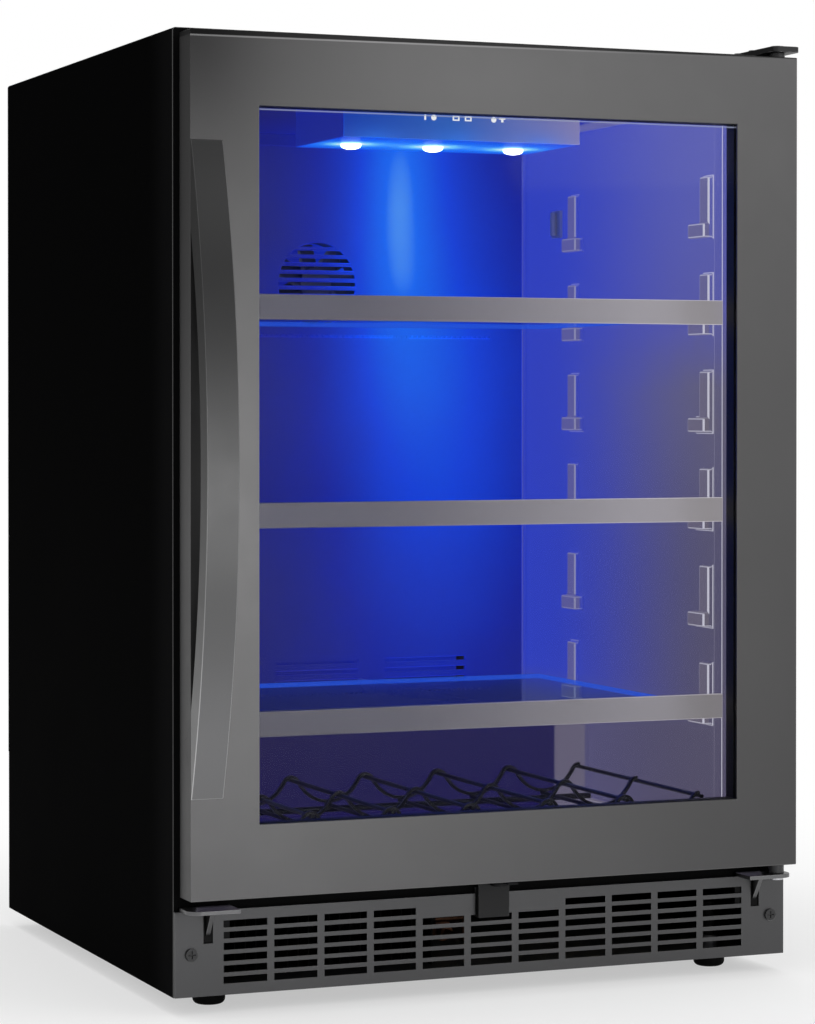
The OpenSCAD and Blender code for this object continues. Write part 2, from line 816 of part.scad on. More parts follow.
module evaporator() {
    fins = floor(2 * coil_half / 10);
    color([0.75, 0.76, 0.78]) seated() translate([0, coil_y, coil_z]) {
        rotate([90, 0, 0]) serpentine(-coil_half, coil_half, coil_pitch, 10);
        for (i = [1 : fins - 1]) translate([-coil_half + i * 10, 0, 0]) rotate([90, 0, 0])
            along_x(0, 0.8) fin_outline(coil_pitch, [-15, -13], [215, 13]);
        for (x = [-coil_half, coil_half - 1.5]) translate([x, 0, 0]) rotate([90, 0, 0])
            along_x(0, 1.5) fin_outline(coil_pitch, [-17, -17], [217, 13]);
    }
}

// The cover's face: fan slots in a round field, rows of small holes and return slots at the foot.
module cover_face() {
    holes = floor(2 * (cover_half - 34) / 5.5);
    difference() {
        rect([-cover_half, cover_low], [cover_half, cover_high]);
        intersection() {
            translate(cool_fan) circle(r = 42);
            for (i = [-5 : 5]) rect([-60, cool_fan[1] + i * 8 - 2], [60, cool_fan[1] + i * 8 + 2]);
        }
        for (l = shelf_levels, i = [0 : holes - 1])
            translate([(i - holes / 2) * 5.5, rib_z0 + l * rib_pitch + 4]) square([3.2, 2]);
        for (x = [-120, 0, 120], i = [0 : 2]) translate([x - 45, cover_low + 34 + i * 10]) square([90, 4]);
    }
}

module evaporator_cover() {
    color([0.32, 0.33, 0.45]) seated() {
        along_y(cover_y, cover_y + cover_t) cover_face();
        along_y(cover_y + cover_t, in_back) union() {
            for (s = [-1, 1]) translate([s * (cover_half - 1), 0]) rect([-1, cover_low], [1, cover_high]);
            rect([-cover_half, cover_high - 2], [cover_half, cover_high]);
        }
    }
}

module evaporator_fan_frame() color([0.06, 0.06, 0.06]) at_cool_fan() fan_frame(cool_fan_w, 25);

module evaporator_fan_rotor() color([0.2, 0.2, 0.21]) at_cool_fan() fan_rotor(cool_fan_w, 25, 7);

module temperature_sensor() {
    x = in_half;
    color([0.85, 0.85, 0.86]) seated() {
        block([x - 3, in_back - 90, 700], [x, in_back - 70, 728]);
        rod([x - 6, in_back - 80, 702], [x - 6, in_back - 80, 726], 3.2);
    }
}

module control_housing() {
    w = control_w / 2;
    y1 = control_y + control_d;
    color([0.3, 0.31, 0.36]) seated() difference() {
        block([-w, control_y, control_low], [w, y1, in_top]);
        block([-w + 2, control_y - 1, control_low + 2], [w - 2, y1 - 2, in_top + 1]);
        for (i = [-1, 0, 1]) upright([i * lamp_pitch, lamp_y], control_low - 1, control_low + 3, lamp_r);
    }
}

module control_fascia() {
    w = control_w / 2;
    color([0.05, 0.05, 0.07]) seated() block([-w, control_y - 2, control_low], [w, control_y, in_top - 0.3]);
}

module control_board() {
    w = control_w / 2 - 12;
    z = control_low + 9;
    color([0.06, 0.3, 0.16]) seated() {
        block([-w, control_y + 12, z], [w, lamp_y + 30, z + 1.6]);
        for (x = [-w + 6, w - 6], y = [control_y + 20, lamp_y + 22]) upright([x, y], control_low + 2, z, 3);
        for (i = [-1, 0, 1]) upright([i * lamp_pitch, lamp_y], z - 4, z, 2.5);
        block([-18, control_y + 2, z], [18, control_y + 12.5, z + 18]);
    }
}

module lamp_lenses() {
    color([0.75, 0.85, 1]) seated() for (i = [-1, 0, 1])
        translate([i * lamp_pitch, lamp_y, control_low]) {
            cylinder(h = 2, r = lamp_r - fit);
            translate([0, 0, -1.5]) cylinder(h = 1.5, r1 = lamp_r - 3, r2 = lamp_r - fit);
            translate([0, 0, 2]) cylinder(h = 1, r = lamp_r + 1.5);
        }
}

// ---------- door ----------

module door_outline(t) rect([-door_half + t, door_low + t], [door_half - t, door_high - t]);

module hinge_holes(r) {
    c = [hinge_x, hinge_y];
    upright(c, door_low - 1, door_low + bush_len, r);
    upright(c, door_high - bush_len, door_high + 1, r);
}

module door_frame() {
    color([0.36, 0.36, 0.37]) seated() difference() {
        union() {
            along_y(door_front, door_front + skin) difference() {
                door_outline(0);
                rect([-win_half, win_low], [win_half, win_high]);
            }
            along_y(door_front + skin, door_back - 1) difference() {
                door_outline(0);
                door_outline(skin);
            }
            along_y(door_front + skin, pane_y) difference() {
                rect([-win_half - skin, win_low - skin], [win_half + skin, win_high + skin]);
                rect([-win_half, win_low], [win_half, win_high]);
            }
        }
        hinge_holes(bush_r + fit);
        upright([0, barrel_y], door_low - 1, barrel_high, barrel_r + fit);
        for (s = [-1, 1])
            bore_y([handle_x, handle_z + s * screw_z], door_front - 1, door_front + skin + 1, 2.6);
    }
}

module door_foam() {
    lap = pane_lap + 0.3;
    color([0.85, 0.78, 0.5]) seated() difference() {
        along_y(door_front + skin, core_back) difference() {
            door_outline(skin);
            rect([-win_half - lap, win_low - lap], [win_half + lap, win_high + lap]);
        }
        hinge_holes(bush_r + fit);
        upright([0, barrel_y], door_low - 1, barrel_high, barrel_r + fit);
        for (s = [-1, 1])
            bore_y([handle_x, handle_z + s * screw_z], door_front, door_front + 8, 5.5);
    }
}

module door_inner_frame() {
    lap = 5;
    color([0.05, 0.05, 0.05]) seated() difference() {
        union() {
            along_y(core_back, door_back) difference() {
                door_outline(skin);
                rect([-win_half - lap, win_low - lap], [win_half + lap, win_high + lap]);
            }
        }
        along_y(door_back - 4, door_back + 1) seal_ring(6.3);
        hinge_holes(bush_r + fit);
        upright([0, barrel_y], door_low - 1, barrel_high, barrel_r + fit);
    }
}

module pane_outline()
    rect([-win_half - pane_lap, win_low - pane_lap], [win_half + pane_lap, win_high + pane_lap]);

module outer_glass() color([0.6, 0.65, 0.7, 0.3]) seated() along_y(pane_y, pane_y + pane_t) pane_outline();

module inner_glass() color([0.6, 0.65, 0.7, 0.3]) seated() along_y(inner_pane_y, core_back) pane_outline();

module glass_spacer() {
    color([0.03, 0.03, 0.03]) seated() along_y(pane_y + pane_t, inner_pane_y) difference() {
        pane_outline();
        rect([-win_half, win_low], [win_half, win_high]);
    }
}

// The gasket's ring, made narrower from both sides by trim.
module seal_ring(trim) {
    o = seal_out - trim;
    i = seal_out - seal_w + trim;
    low_w = min(seal_w, floor_z - 1 - seal_low);
    low_trim = trim * low_w / seal_w;
    ring(o, seal_low + low_trim, seal_high - trim, i, seal_low + low_w - low_trim, seal_high - seal_w + trim);
}

module door_gasket() {
    color([0.1, 0.1, 0.1]) seated() {
        along_y(door_back, -seal_gap - 1.5) seal_ring(1.5);
        along_y(-seal_gap - 1.5, -seal_gap) seal_ring(0);
        along_y(door_back - 3.6, door_back) seal_ring(6.6);
    }
}

// Side view of the handle: the segment of a large arc, hollowed by a flatter one.
module handle_outline() {
    half = handle_len / 2;
    reach = half + 4;
    grip = grip_len / 2;
    r_out = (reach * reach + handle_bow * handle_bow) / (2 * handle_bow);
    r_in = (grip * grip + grip_bow * grip_bow) / (2 * grip_bow);
    difference() {
        intersection() {
            translate([door_front - handle_bow + r_out, handle_z]) circle(r = r_out, $fn = FINE);
            rect([LOW, handle_z - half], [door_front, handle_z + half]);
        }
        translate([door_front - grip_bow + r_in, handle_z]) circle(r = r_in, $fn = FINE);
    }
}

module handle_bar() {
    color([0.3, 0.3, 0.31]) seated() difference() {
        along_x(handle_x0, handle_x0 + handle_w) handle_outline();
        for (s = [-1, 1])
            bore_y([handle_x, handle_z + s * screw_z], door_front - 4, door_front + 1, 2.5 + fit);
    }
}

module handle_screws() {
    color([0.6, 0.6, 0.62]) seated() for (s = [-1, 1])
        translate([handle_x, door_front + skin, handle_z + s * screw_z]) mirror([0, 1, 0])
            pan_screw(5, 3, 2.5, 4.5);
}

module hinge_bushes() {
    c = [hinge_x, hinge_y];
    color([0.15, 0.15, 0.15]) seated() difference() {
        union() {
            upright(c, plate_top + 0.3, door_low, collar_r);
            upright(c, door_low, door_low + bush_len - 0.5, bush_r);
            upright(c, door_high - bush_len + 0.5, door_high, bush_r);
            upright(c, door_high, cab_top - 0.3, collar_r);
        }
        upright(c, LOW, HIGH, pin_r + fit);
    }
}

module lock_barrel() {
    color([0.5, 0.5, 0.52]) seated() difference() {
        upright([0, barrel_y], barrel_low, barrel_high - 1, barrel_r);
        block([-0.8, barrel_y - 4, barrel_low - 1], [0.8, barrel_y + 4, barrel_low + 8]);
    }
}

// A hooked plate round the barrel; at rest it points to the right, clear of the strike.
module lock_cam() {
    color([0.4, 0.4, 0.42]) seated() translate([0, barrel_y, cam_z]) linear_extrude(cam_t) difference() {
        union() {
            circle(r = barrel_r + 2.2);
            rect([0, -4], [15, 4]);
            rect([13.5, -4], [17, 10.5]);
        }
        circle(r = barrel_r + fit);
    }
}

// ---------- shelves, rack and feet ----------

function shelf_z(place) = rib_z0 + shelf_levels[place] * rib_pitch + rib_foot_h;

module shelf_glass(place) {
    z = shelf_z(place);
    color([0.6, 0.68, 0.72, 0.4]) seated()
        block([-shelf_half, trim_y + trim_t, z], [shelf_half, shelf_back, z + shelf_t]);
}

module shelf_trim(place) {
    z = shelf_z(place);
    low = z - 5;
    y = trim_y + trim_t;
    color([0.5, 0.5, 0.5]) seated() along_x(-trim_half, trim_half) union() {
        rect([trim_y, low], [y, low + trim_h]);
        rect([y, z - trim_t], [y + 14, z]);
        rect([y, z + shelf_t], [y + 12, z + shelf_t + trim_t]);
        rect([y, low], [y + 7, low + trim_t]);
        rect([y, low + trim_h - trim_t], [y + 4, low + trim_h]);
    }
}

module top_shelf_glass() shelf_glass(0);
module top_shelf_trim() shelf_trim(0);
module middle_shelf_glass() shelf_glass(1);
module middle_shelf_trim() shelf_trim(1);
module bottom_shelf_glass() shelf_glass(2);
module bottom_shelf_trim() shelf_trim(2);

function rack_x(i) = (i - cradles / 2) * cradle_pitch;

function crest_part(i, from, to, o) = [
    for (a = [from : 15 : to])
        [rack_x(i) + (crest_r - o) * sin(a), crest_z - crest_r + (crest_r - o) * cos(a)]
];

function cradle_part(i, o) = [
    for (a = [-arc_angle : 15 : arc_angle])
        [rack_x(i + 0.5) + (cradle_r + o) * sin(a), wave_z + cradle_r - (cradle_r + o) * cos(a)]
];

// One edge of the waved strip, at the distance o below its centre line.
function wave_edge(o) = [
    each crest_part(0, 0, arc_angle, o),
    for (i = [0 : cradles - 1])
        each concat(cradle_part(i, o), crest_part(i + 1, -arc_angle, i + 1 < cradles ? arc_angle : 0, o))
];

// A strip bent into long arcs that hold the bottles and short crests between them.
module waved_strip() {
    upper = wave_edge(-strip_t / 2);
    last = len(upper) - 1;
    along_y(-2, 2) polygon(concat(wave_edge(strip_t / 2), [for (i = [last : -1 : 0]) upper[i]]));
}

module bottle_rack() {
    over = 6;
    color([0.06, 0.06, 0.07]) seated() {
        for (y = [rack_front, (rack_front + rack_back) / 2, rack_back]) {
            rod([-rack_half, y, cross_z], [rack_half, y, cross_z], cross_r);
            translate([0, y, 0]) waved_strip();
        }
        for (i = [0 : cradles - 1]) {
            x = rack_x(i + 0.5);
            rod([x, rack_front - over, cradle_rod_z], [x, rack_back + over, cradle_rod_z], wire_r);
        }
        for (i = [0 : cradles]) {
            x = rack_x(i);
            z = crest_z - strip_t / 2 - wire_r + 0.4;
            rod([x, rack_front - over, z], [x, rack_back + over, z], wire_r);
        }
    }
}

// A foot: pad with a rounded lower edge under a threaded stud, drawn plain.
module foot(side, row) {
    edge = 5;
    top = base_h - 0.3;
    color([0.05, 0.05, 0.05]) seated() translate([side * (half_w - foot_in), foot_ys[row], 0]) {
        rotate_extrude() {
            rect([0, edge], [foot_r, top]);
            rect([0, 0], [foot_r - edge, edge + 1]);
            translate([foot_r - edge, edge]) circle(r = edge);
        }
        cylinder(h = stud_top, r = stud_r - fit);
    }
}

module front_left_foot() foot(-1, 0);
module front_right_foot() foot(1, 0);
module rear_left_foot() foot(-1, 1);
module rear_right_foot() foot(1, 1);

cabinet_wrap();
back_panel();
base_pan();
front_rail();
insulation();
inner_liner();
kick_grille();
panel_screws();
lower_hinge_bracket();
spare_hinge_bracket();
upper_hinge_bracket();
hinge_pins();
hinge_screws();
lock_strike();
compressor();
compressor_grommets();
relay_box();
condenser();
condenser_fan_frame();
condenser_fan_rotor();
drip_tray();
filter_drier();
capillary_tube();
discharge_tube();
suction_tube();
power_board_box();
power_gland();
machine_cover();
evaporator();
evaporator_cover();
evaporator_fan_frame();
evaporator_fan_rotor();
temperature_sensor();
control_housing();
control_fascia();
control_board();
lamp_lenses();
door_frame();
door_inner_frame();
door_foam();
outer_glass();
inner_glass();
glass_spacer();
door_gasket();
handle_bar();
handle_screws();
hinge_bushes();
lock_barrel();
lock_cam();
top_shelf_glass();
top_shelf_trim();
middle_shelf_glass();
middle_shelf_trim();
bottom_shelf_glass();
bottom_shelf_trim();
bottle_rack();
front_left_foot();
front_right_foot();
rear_left_foot();
rear_right_foot();
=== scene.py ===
"""A drinks fridge with a glass door: the finishes, rounded edges and lamp lenses of its fixed frame."""
import json
import math

import bmesh
import bpy
import numpy as np
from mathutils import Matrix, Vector

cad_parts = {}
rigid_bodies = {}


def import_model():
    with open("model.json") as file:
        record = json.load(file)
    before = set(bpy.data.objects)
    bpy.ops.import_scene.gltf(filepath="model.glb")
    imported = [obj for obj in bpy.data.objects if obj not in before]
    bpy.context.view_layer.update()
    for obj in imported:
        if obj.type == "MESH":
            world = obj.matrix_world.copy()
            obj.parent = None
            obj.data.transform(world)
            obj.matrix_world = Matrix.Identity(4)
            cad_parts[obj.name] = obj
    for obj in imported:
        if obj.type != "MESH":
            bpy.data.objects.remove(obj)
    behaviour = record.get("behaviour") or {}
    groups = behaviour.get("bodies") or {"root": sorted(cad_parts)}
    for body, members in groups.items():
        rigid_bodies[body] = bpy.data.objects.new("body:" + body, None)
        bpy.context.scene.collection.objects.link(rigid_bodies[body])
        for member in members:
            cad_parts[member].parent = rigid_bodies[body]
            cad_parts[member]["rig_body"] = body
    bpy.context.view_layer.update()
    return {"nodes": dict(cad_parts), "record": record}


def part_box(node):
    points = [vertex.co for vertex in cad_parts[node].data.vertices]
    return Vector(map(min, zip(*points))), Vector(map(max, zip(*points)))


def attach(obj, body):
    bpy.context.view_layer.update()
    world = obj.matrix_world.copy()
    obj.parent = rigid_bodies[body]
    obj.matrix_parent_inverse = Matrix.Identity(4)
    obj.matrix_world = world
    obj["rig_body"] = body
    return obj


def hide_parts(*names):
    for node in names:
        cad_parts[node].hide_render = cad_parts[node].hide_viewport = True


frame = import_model()
scene = bpy.context.scene
scene.view_settings.view_transform = "Standard"


# ---- places, in metres -------------------------------------------------------------------------

GLASS_HELD = 0.014  # how far the door's frame reaches over its glass
TRIM_GAP = 0.0045  # between a shelf's nosing and the side wall


def part_way(low, high, share):
    """The place at a share of the way from low to high."""
    return low + (high - low) * share


lens_low, lens_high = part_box("lamp_lenses")
LENS_R = (lens_high.y - lens_low.y) / 2
LENS_Y = (lens_high.y + lens_low.y) / 2
LENS_Z = lens_low.z
LAMP_XS = (lens_low.x + LENS_R, 0.0, lens_high.x - LENS_R)
room_low, room_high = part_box("inner_liner")
trim_low, trim_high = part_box("bottom_shelf_trim")
frame_low, frame_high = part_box("door_frame")
handle_low, handle_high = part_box("handle_bar")
fascia_low, fascia_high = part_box("control_fascia")
web_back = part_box("lower_hinge_bracket")[1].y
view_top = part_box("outer_glass")[1].z - GLASS_HELD
wall_x = trim_high.x + TRIM_GAP


# ---- finishes ----------------------------------------------------------------------------------

FINISHES = {}  # each finish, by the name of the material slot that it is for
HAIRLINE = 60  # how many times longer than wide the hairlines of brushed steel are
GLOW = 0.9  # strength of the light on the faces that the lamps reach


class Wire:
    """One output in a surface's tree. Arithmetic on it adds the Math nodes that work the sum out."""

    def __init__(self, surface, socket):
        self.surface = surface
        self.socket = socket

    def __add__(self, other):
        return self.surface.maths("ADD", self, other)

    def __sub__(self, other):
        return self.surface.maths("SUBTRACT", self, other)

    def __rsub__(self, other):
        return self.surface.maths("SUBTRACT", other, self)

    def __mul__(self, other):
        return self.surface.maths("MULTIPLY", self, other)

    def __truediv__(self, other):
        return self.surface.maths("DIVIDE", self, other)

    def __rtruediv__(self, other):
        return self.surface.maths("DIVIDE", other, self)

    def __pow__(self, other):
        return self.surface.maths("POWER", self, other)

    def __abs__(self):
        return self.surface.add("ShaderNodeMath", {"operation": "ABSOLUTE"}, {0: self})

    __radd__ = __add__
    __rmul__ = __mul__

    def above(self, edge, soft):
        """0 below the edge and 1 above it, with a smooth step as wide as soft."""
        return self.surface.add(
            "ShaderNodeMapRange",
            {"interpolation_type": "SMOOTHSTEP", "clamp": True},
            {"Value": self, "From Min": edge - soft / 2, "From Max": edge + soft / 2},
        )

    def below(self, edge, soft):
        """1 below the edge and 0 above it."""
        return 1 - self.above(edge, soft)

    def between(self, low, high, soft):
        """1 between two edges and 0 outside them."""
        return self.above(low, soft) * self.below(high, soft)


class Surface:
    """What a surface looks like, worked out from the place of each point in one tree of nodes."""

    def __init__(self, tree, place):
        self.tree = tree
        self.tree.nodes.clear()
        self.place = self.add("ShaderNodeTexCoord", {}, {}, place)
        self.split = None

    def add(self, kind, settings, sockets, out=0):
        """A node of one kind: its settings first, then its sockets' values or wires. Gives one output."""
        node = self.tree.nodes.new(kind)
        for key, value in settings.items():
            if key == "stops":
                ramp = node.color_ramp.elements
                while len(ramp) < len(value):
                    ramp.new(0.5)
                for stop, (where, colour) in zip(ramp, value):
                    stop.position = where
                    stop.color = (*colour, 1)
            else:
                setattr(node, key, value)
        for key, value in sockets.items():
            if isinstance(value, Wire):
                self.tree.links.new(value.socket, node.inputs[key])
            elif isinstance(value, tuple) and node.inputs[key].type == "RGBA":
                node.inputs[key].default_value = (*value, 1)
            else:
                node.inputs[key].default_value = value
        return Wire(self, node.outputs[out])

    def close(self, kind, shader):
        """The tree's output node, with a shader on it."""
        out = self.tree.nodes.new(kind)
        self.tree.links.new(shader.socket, out.inputs["Surface"])

    def maths(self, operation, first, second):
        """A Math node on two values or wires."""
        return self.add("ShaderNodeMath", {"operation": operation}, {0: first, 1: second})

    def axis(self, letter):
        """The point's X, Y or Z in metres."""
        if self.split is None:
            self.split = self.tree.nodes.new("ShaderNodeSeparateXYZ")
            self.tree.links.new(self.place.socket, self.split.inputs[0])
        return Wire(self, self.split.outputs["XYZ".index(letter)])

    def facing(self, letter):
        """How far the surface faces along an axis, from -1 to 1."""
        normal = self.add("ShaderNodeNewGeometry", {}, {}, "Normal")
        return self.add("ShaderNodeSeparateXYZ", {}, {0: normal}, "XYZ".index(letter))

    def turned(self, letter):
        """1 where the surface faces the low end of an axis: left, front or down."""
        return self.facing(letter).below(-0.5, 0.4)

    def upright(self):
        """1 where the surface stands upright, 0 where it lies flat."""
        return 1 - abs(self.facing("Z"))

    def away(self, point):
        """Distance from a fixed point in metres."""
        return self.add("ShaderNodeVectorMath", {"operation": "DISTANCE"}, {0: self.place, 1: point}, "Value")

    def spot(self, x, z, wide, high):
        """A glow on a surface that faces the front: 1 at (x, z), a half at wide or high metres from it."""
        return 1 / (((self.axis("X") - x) / wide) ** 2 + ((self.axis("Z") - z) / high) ** 2 + 1)

    def dot(self, x, z, radius):
        """1 inside a small disc of X and Z."""
        far = ((self.axis("X") - x) ** 2 + (self.axis("Z") - z) ** 2) ** 0.5
        return far.below(radius, 0.0005)

    def patch(self, x, z, half_x, half_z):
        """1 inside a small rectangle of X and Z."""
        across = abs(self.axis("X") - x)
        up = abs(self.axis("Z") - z)
        return across.below(half_x, 0.0004) * up.below(half_z, 0.0004)

    def grid(self, size, stretch=(1, 1, 1)):
        """The place counted in steps of size millimetres, longer along an axis by a stretch above 1."""
        scale = tuple(1000 / (size * s) for s in stretch)
        return self.add("ShaderNodeMapping", {}, {"Vector": self.place, "Scale": scale})

    def noise(self, size, detail=2.0, rough=0.5, stretch=(1, 1, 1), twist=0.0):
        """Soft random clouds about size millimetres across."""
        sockets = {"Vector": self.grid(size, stretch), "Scale": 1.0}
        sockets |= {"Detail": detail, "Roughness": rough, "Distortion": twist}
        return self.add("ShaderNodeTexNoise", {}, sockets)

    def cells(self, size):
        """Distance to the nearest of scattered seeds about size millimetres apart."""
        sockets = {"Vector": self.grid(size), "Scale": 1.0}
        return self.add("ShaderNodeTexVoronoi", {"feature": "F1"}, sockets, "Distance")

    def stripes(self, letter, pitch):
        """A sine wave from 0 to 1 along an axis, pitch millimetres long."""
        angle = self.axis(letter) * (2000 * math.pi / pitch)
        return self.add("ShaderNodeMath", {"operation": "SINE"}, {0: angle}) * 0.5 + 0.5

    def scratches(self, size, share):
        """1 on thin curved hairlines, 0 elsewhere: the zero line of a drawn-out noise."""
        lines = self.noise(size, 1.0, 0.4, (0.12, 1, 1), 1.2) - 0.5
        return abs(lines).below(0.004, 0.006) * self.noise(size * 2.5, 1.0).above(1 - share, 0.1)

    def shade(self, colour, strength):
        """A colour made lighter or darker by a number."""
        key = 0 if isinstance(colour, Wire) else "Vector"
        return self.add("ShaderNodeVectorMath", {"operation": "SCALE"}, {key: colour, "Scale": strength})

    def mix(self, factor, first, second):
        """The first colour where the factor is 0, and the second where it is 1."""
        return self.add("ShaderNodeMix", {"data_type": "RGBA"}, {"Factor": factor, 6: first, 7: second}, 2)

    def ramp(self, value, stops):
        """A colour that a value from 0 to 1 picks from stops of (value, colour)."""
        return self.add("ShaderNodeValToRGB", {"stops": stops}, {"Fac": value})

    def bump(self, height, distance, strength=1.0):
        """A normal from a height of 0 to 1 that stands for distance millimetres."""
        sockets = {"Height": height, "Distance": distance / 1000, "Strength": strength}
        return self.add("ShaderNodeBump", {}, sockets)

    def outer_edges(self):
        """1 on the rounded outer edges of a piece, 0 elsewhere."""
        return self.add("ShaderNodeAttribute", {"attribute_name": "edge"}, {}, "Fac")

    def solid(self, **sockets):
        """The body of the surface: a Principled shader with these sockets."""
        names = {key.replace("_", " "): value for key, value in sockets.items()}
        return self.add("ShaderNodeBsdfPrincipled", {}, names)

    def blend(self, factor, first, second):
        """One shader where the factor is 0, and another where it is 1."""
        return self.add("ShaderNodeMixShader", {}, {0: factor, 1: first, 2: second})


class Finish(Surface):
    """A material for one kind of surface, kept in FINISHES under its name when it is done."""

    def __init__(self, name):
        self.name = name
        self.material = bpy.data.materials.new(name)
        self.material.use_nodes = True
        super().__init__(self.material.node_tree, "Object")

    def done(self, shader):
        """Closes the material and keeps it."""
        self.close("ShaderNodeOutputMaterial", shader)
        FINISHES[self.name] = self.material


def brushed(name, colour, rough, grain="Z", shine=0.10, edge=1.6, painted_shading=None):
    """Steel brushed along one axis: long hairlines, faint clouds, hand marks, and a painted highlight on its
    rounded edges, as strong as edge sets it.

    The last argument gives painted light and shade as a tone over the whole piece, where it isn't even.
    """
    f = Finish(name)
    along = tuple(HAIRLINE if letter == grain else 1 for letter in "XYZ")
    lines = f.noise(0.7, 3.0, 0.6, along)
    clouds = f.noise(140, 3.0, 0.55)
    marks = f.noise(38, 4.0, 0.6, twist=0.6)
    tone = 1 + (lines - 0.5) * shine + (clouds - 0.5) * 0.14
    # a painted highlight: the rounded edges made brighter by edge
    tone = tone * (1 + f.outer_edges() * (edge - 1))
    # painted light and shade over the whole piece, where the last argument gives it
    if painted_shading:
        tone = tone * painted_shading(f)
    f.done(
        f.solid(
            Base_Color=f.shade(colour, tone),
            Metallic=1.0,
            Roughness=rough + (lines - 0.5) * 0.10 + (marks - 0.5) * 0.09 + f.scratches(60, 0.3) * 0.1,
            Normal=f.bump(lines, 0.006, 0.6),
        )
    )


def door_painted_shading(f):
    """Painted light and shade on the door's steel: painted shade deepest at the upper left corner, low on the
    handle's side, over its right part and at its lower right corner, and painted light on its left stile and
    near its top.

    Its rolled top edge gets painted shade, with a painted highlight line under it.
    """
    front = f.turned("Y")
    flank = f.turned("X")
    corner = f.spot(frame_low.x, frame_high.z, 0.085, 0.11) * front
    right = f.axis("X").above(frame_high.x * 0.41, 0.5)
    low_right = f.spot(frame_high.x, frame_low.z, 0.25, 0.2)
    left = f.spot(frame_low.x + 0.04, part_way(frame_low.z, frame_high.z, 0.427), 0.09, 0.24)
    top = f.spot(frame_low.x * 0.17, frame_high.z - 0.03, 0.16, 0.06)
    height = f.axis("Z") - f.axis("X") * 0.006
    roll = frame_high.z - 0.0028
    rolled = height.above(roll, 0.001)
    line = height.between(roll - 0.0014, roll, 0.0006) * front * f.axis("X").below(frame_high.x * 0.17, 0.4)
    low = flank * f.axis("Z").below(part_way(frame_low.z, frame_high.z, 0.346), 0.3)
    # painted shade and painted light in the tone, and the painted highlight line added on top
    tone = 1.04 - corner * 0.8 - right * 0.2 - low_right * 0.12 + left * front * 0.24 + top * 0.2
    return tone * (1 - rolled * 0.75) * (1 - low * 0.42) + line * 1.1


def handle_painted_shading(f):
    """Painted shading along the handle: darkest in its upper third, lightest at its lower end."""
    z = f.axis("Z")
    upper, middle, lower = (part_way(handle_low.z, handle_high.z, share) for share in (0.873, 0.552, 0.195))
    return 0.42 + z.above(upper, 0.1) * 0.22 + z.below(middle, 0.3) * 0.5 + z.below(lower, 0.16) * 0.85


def hidden_web(f):
    """Bracket steel: bright where it stands clear, black where it lies in the dark behind the grille."""
    return f.axis("Y").below(web_back - 0.0045, 0.003) * 0.94 + 0.06


def painted(name, colour, rough, level=0.5, peel=0.02, edge_colour=(0.2, 0.2, 0.2), dust=0.0, painted_front_light=False):
    """Baked enamel: orange peel, faint clouding and edges scuffed in patches.

    dust is how much dust lies on what faces up. With the last argument set, for the cabinet, its upright
    front edges carry a painted highlight all along, in the edge colour, and its sides get painted light near
    the front.
    """
    f = Finish(name)
    skin = f.noise(2.2, 2.0, 0.5)
    clouds = f.noise(120, 3.0, 0.6)
    wear_and_highlight = f.outer_edges() * f.noise(9, 4.0, 0.7).above(0.56, 0.14)
    tone = 1 + (clouds - 0.5) * 0.3
    if painted_front_light:
        # for the cabinet: a painted highlight along its upright front edges, and painted light on its sides
        # near the front
        wear_and_highlight = wear_and_highlight + f.outer_edges() * f.upright() * f.axis("Y").below(room_low.y + 0.003, 0.002)
        tone = tone * (1 + f.axis("Y").below(room_low.y + 0.04, 0.06) * 1.6)
    base = f.mix(wear_and_highlight, f.shade(colour, tone), edge_colour)
    if dust:
        top = f.facing("Z").above(0.6, 0.5) * f.noise(30, 4.0, 0.6)
        base = f.mix(top * dust, base, (0.32, 0.31, 0.29))
    f.done(
        f.solid(
            Base_Color=base,
            Roughness=rough + (clouds - 0.5) * 0.12 + f.scratches(90, 0.35) * 0.12,
            Specular_IOR_Level=level,
            Normal=f.bump(skin, peel),
        )
    )


def moulded(name, colour, rough, level=0.4):
    """Moulded plastic: a fine eroded grain, flow clouds, slightly polished edges with a painted highlight."""
    f = Finish(name)
    fine = f.noise(0.8, 3.0, 0.65)
    clouds = f.noise(70, 3.0, 0.55)
    f.done(
        f.solid(
            # the rounded edges lighter: a painted highlight
            Base_Color=f.shade(colour, 1 + (clouds - 0.5) * 0.16 + (fine - 0.5) * 0.08 + f.outer_edges() * 0.25),
            Roughness=rough + (clouds - 0.5) * 0.12 - f.outer_edges() * 0.1,
            Specular_IOR_Level=level,
            Normal=f.bump(fine, 0.02),
        )
    )


def rubbery(name, colour):
    """Soft rubber: matt, with a faint bloom in clouds."""
    f = Finish(name)
    bloom = f.noise(14, 4.0, 0.65)
    clean = f.shade(colour, 0.8 + bloom * 0.4)
    f.done(
        f.solid(
            Base_Color=f.mix(bloom.above(0.62, 0.3) * 0.35, clean, (0.09, 0.09, 0.09)),
            Roughness=0.72 + (bloom - 0.5) * 0.2,
            Specular_IOR_Level=0.25,
            Normal=f.bump(f.noise(0.6, 2.0), 0.015),
        )
    )


def zinc(name):
    """Galvanised sheet: flat crystals of different greys with a light matt weathering."""
    f = Finish(name)
    crystal = f.cells(9)
    grey = crystal * 0.7 + f.noise(45, 4.0, 0.6) * 0.4
    f.done(
        f.solid(
            Base_Color=f.ramp(grey, [(0.2, (0.05, 0.05, 0.055)), (0.9, (0.12, 0.12, 0.13))]),
            Metallic=0.85,
            Roughness=0.38 + crystal * 0.2,
            Normal=f.bump(crystal, 0.01),
        )
    )


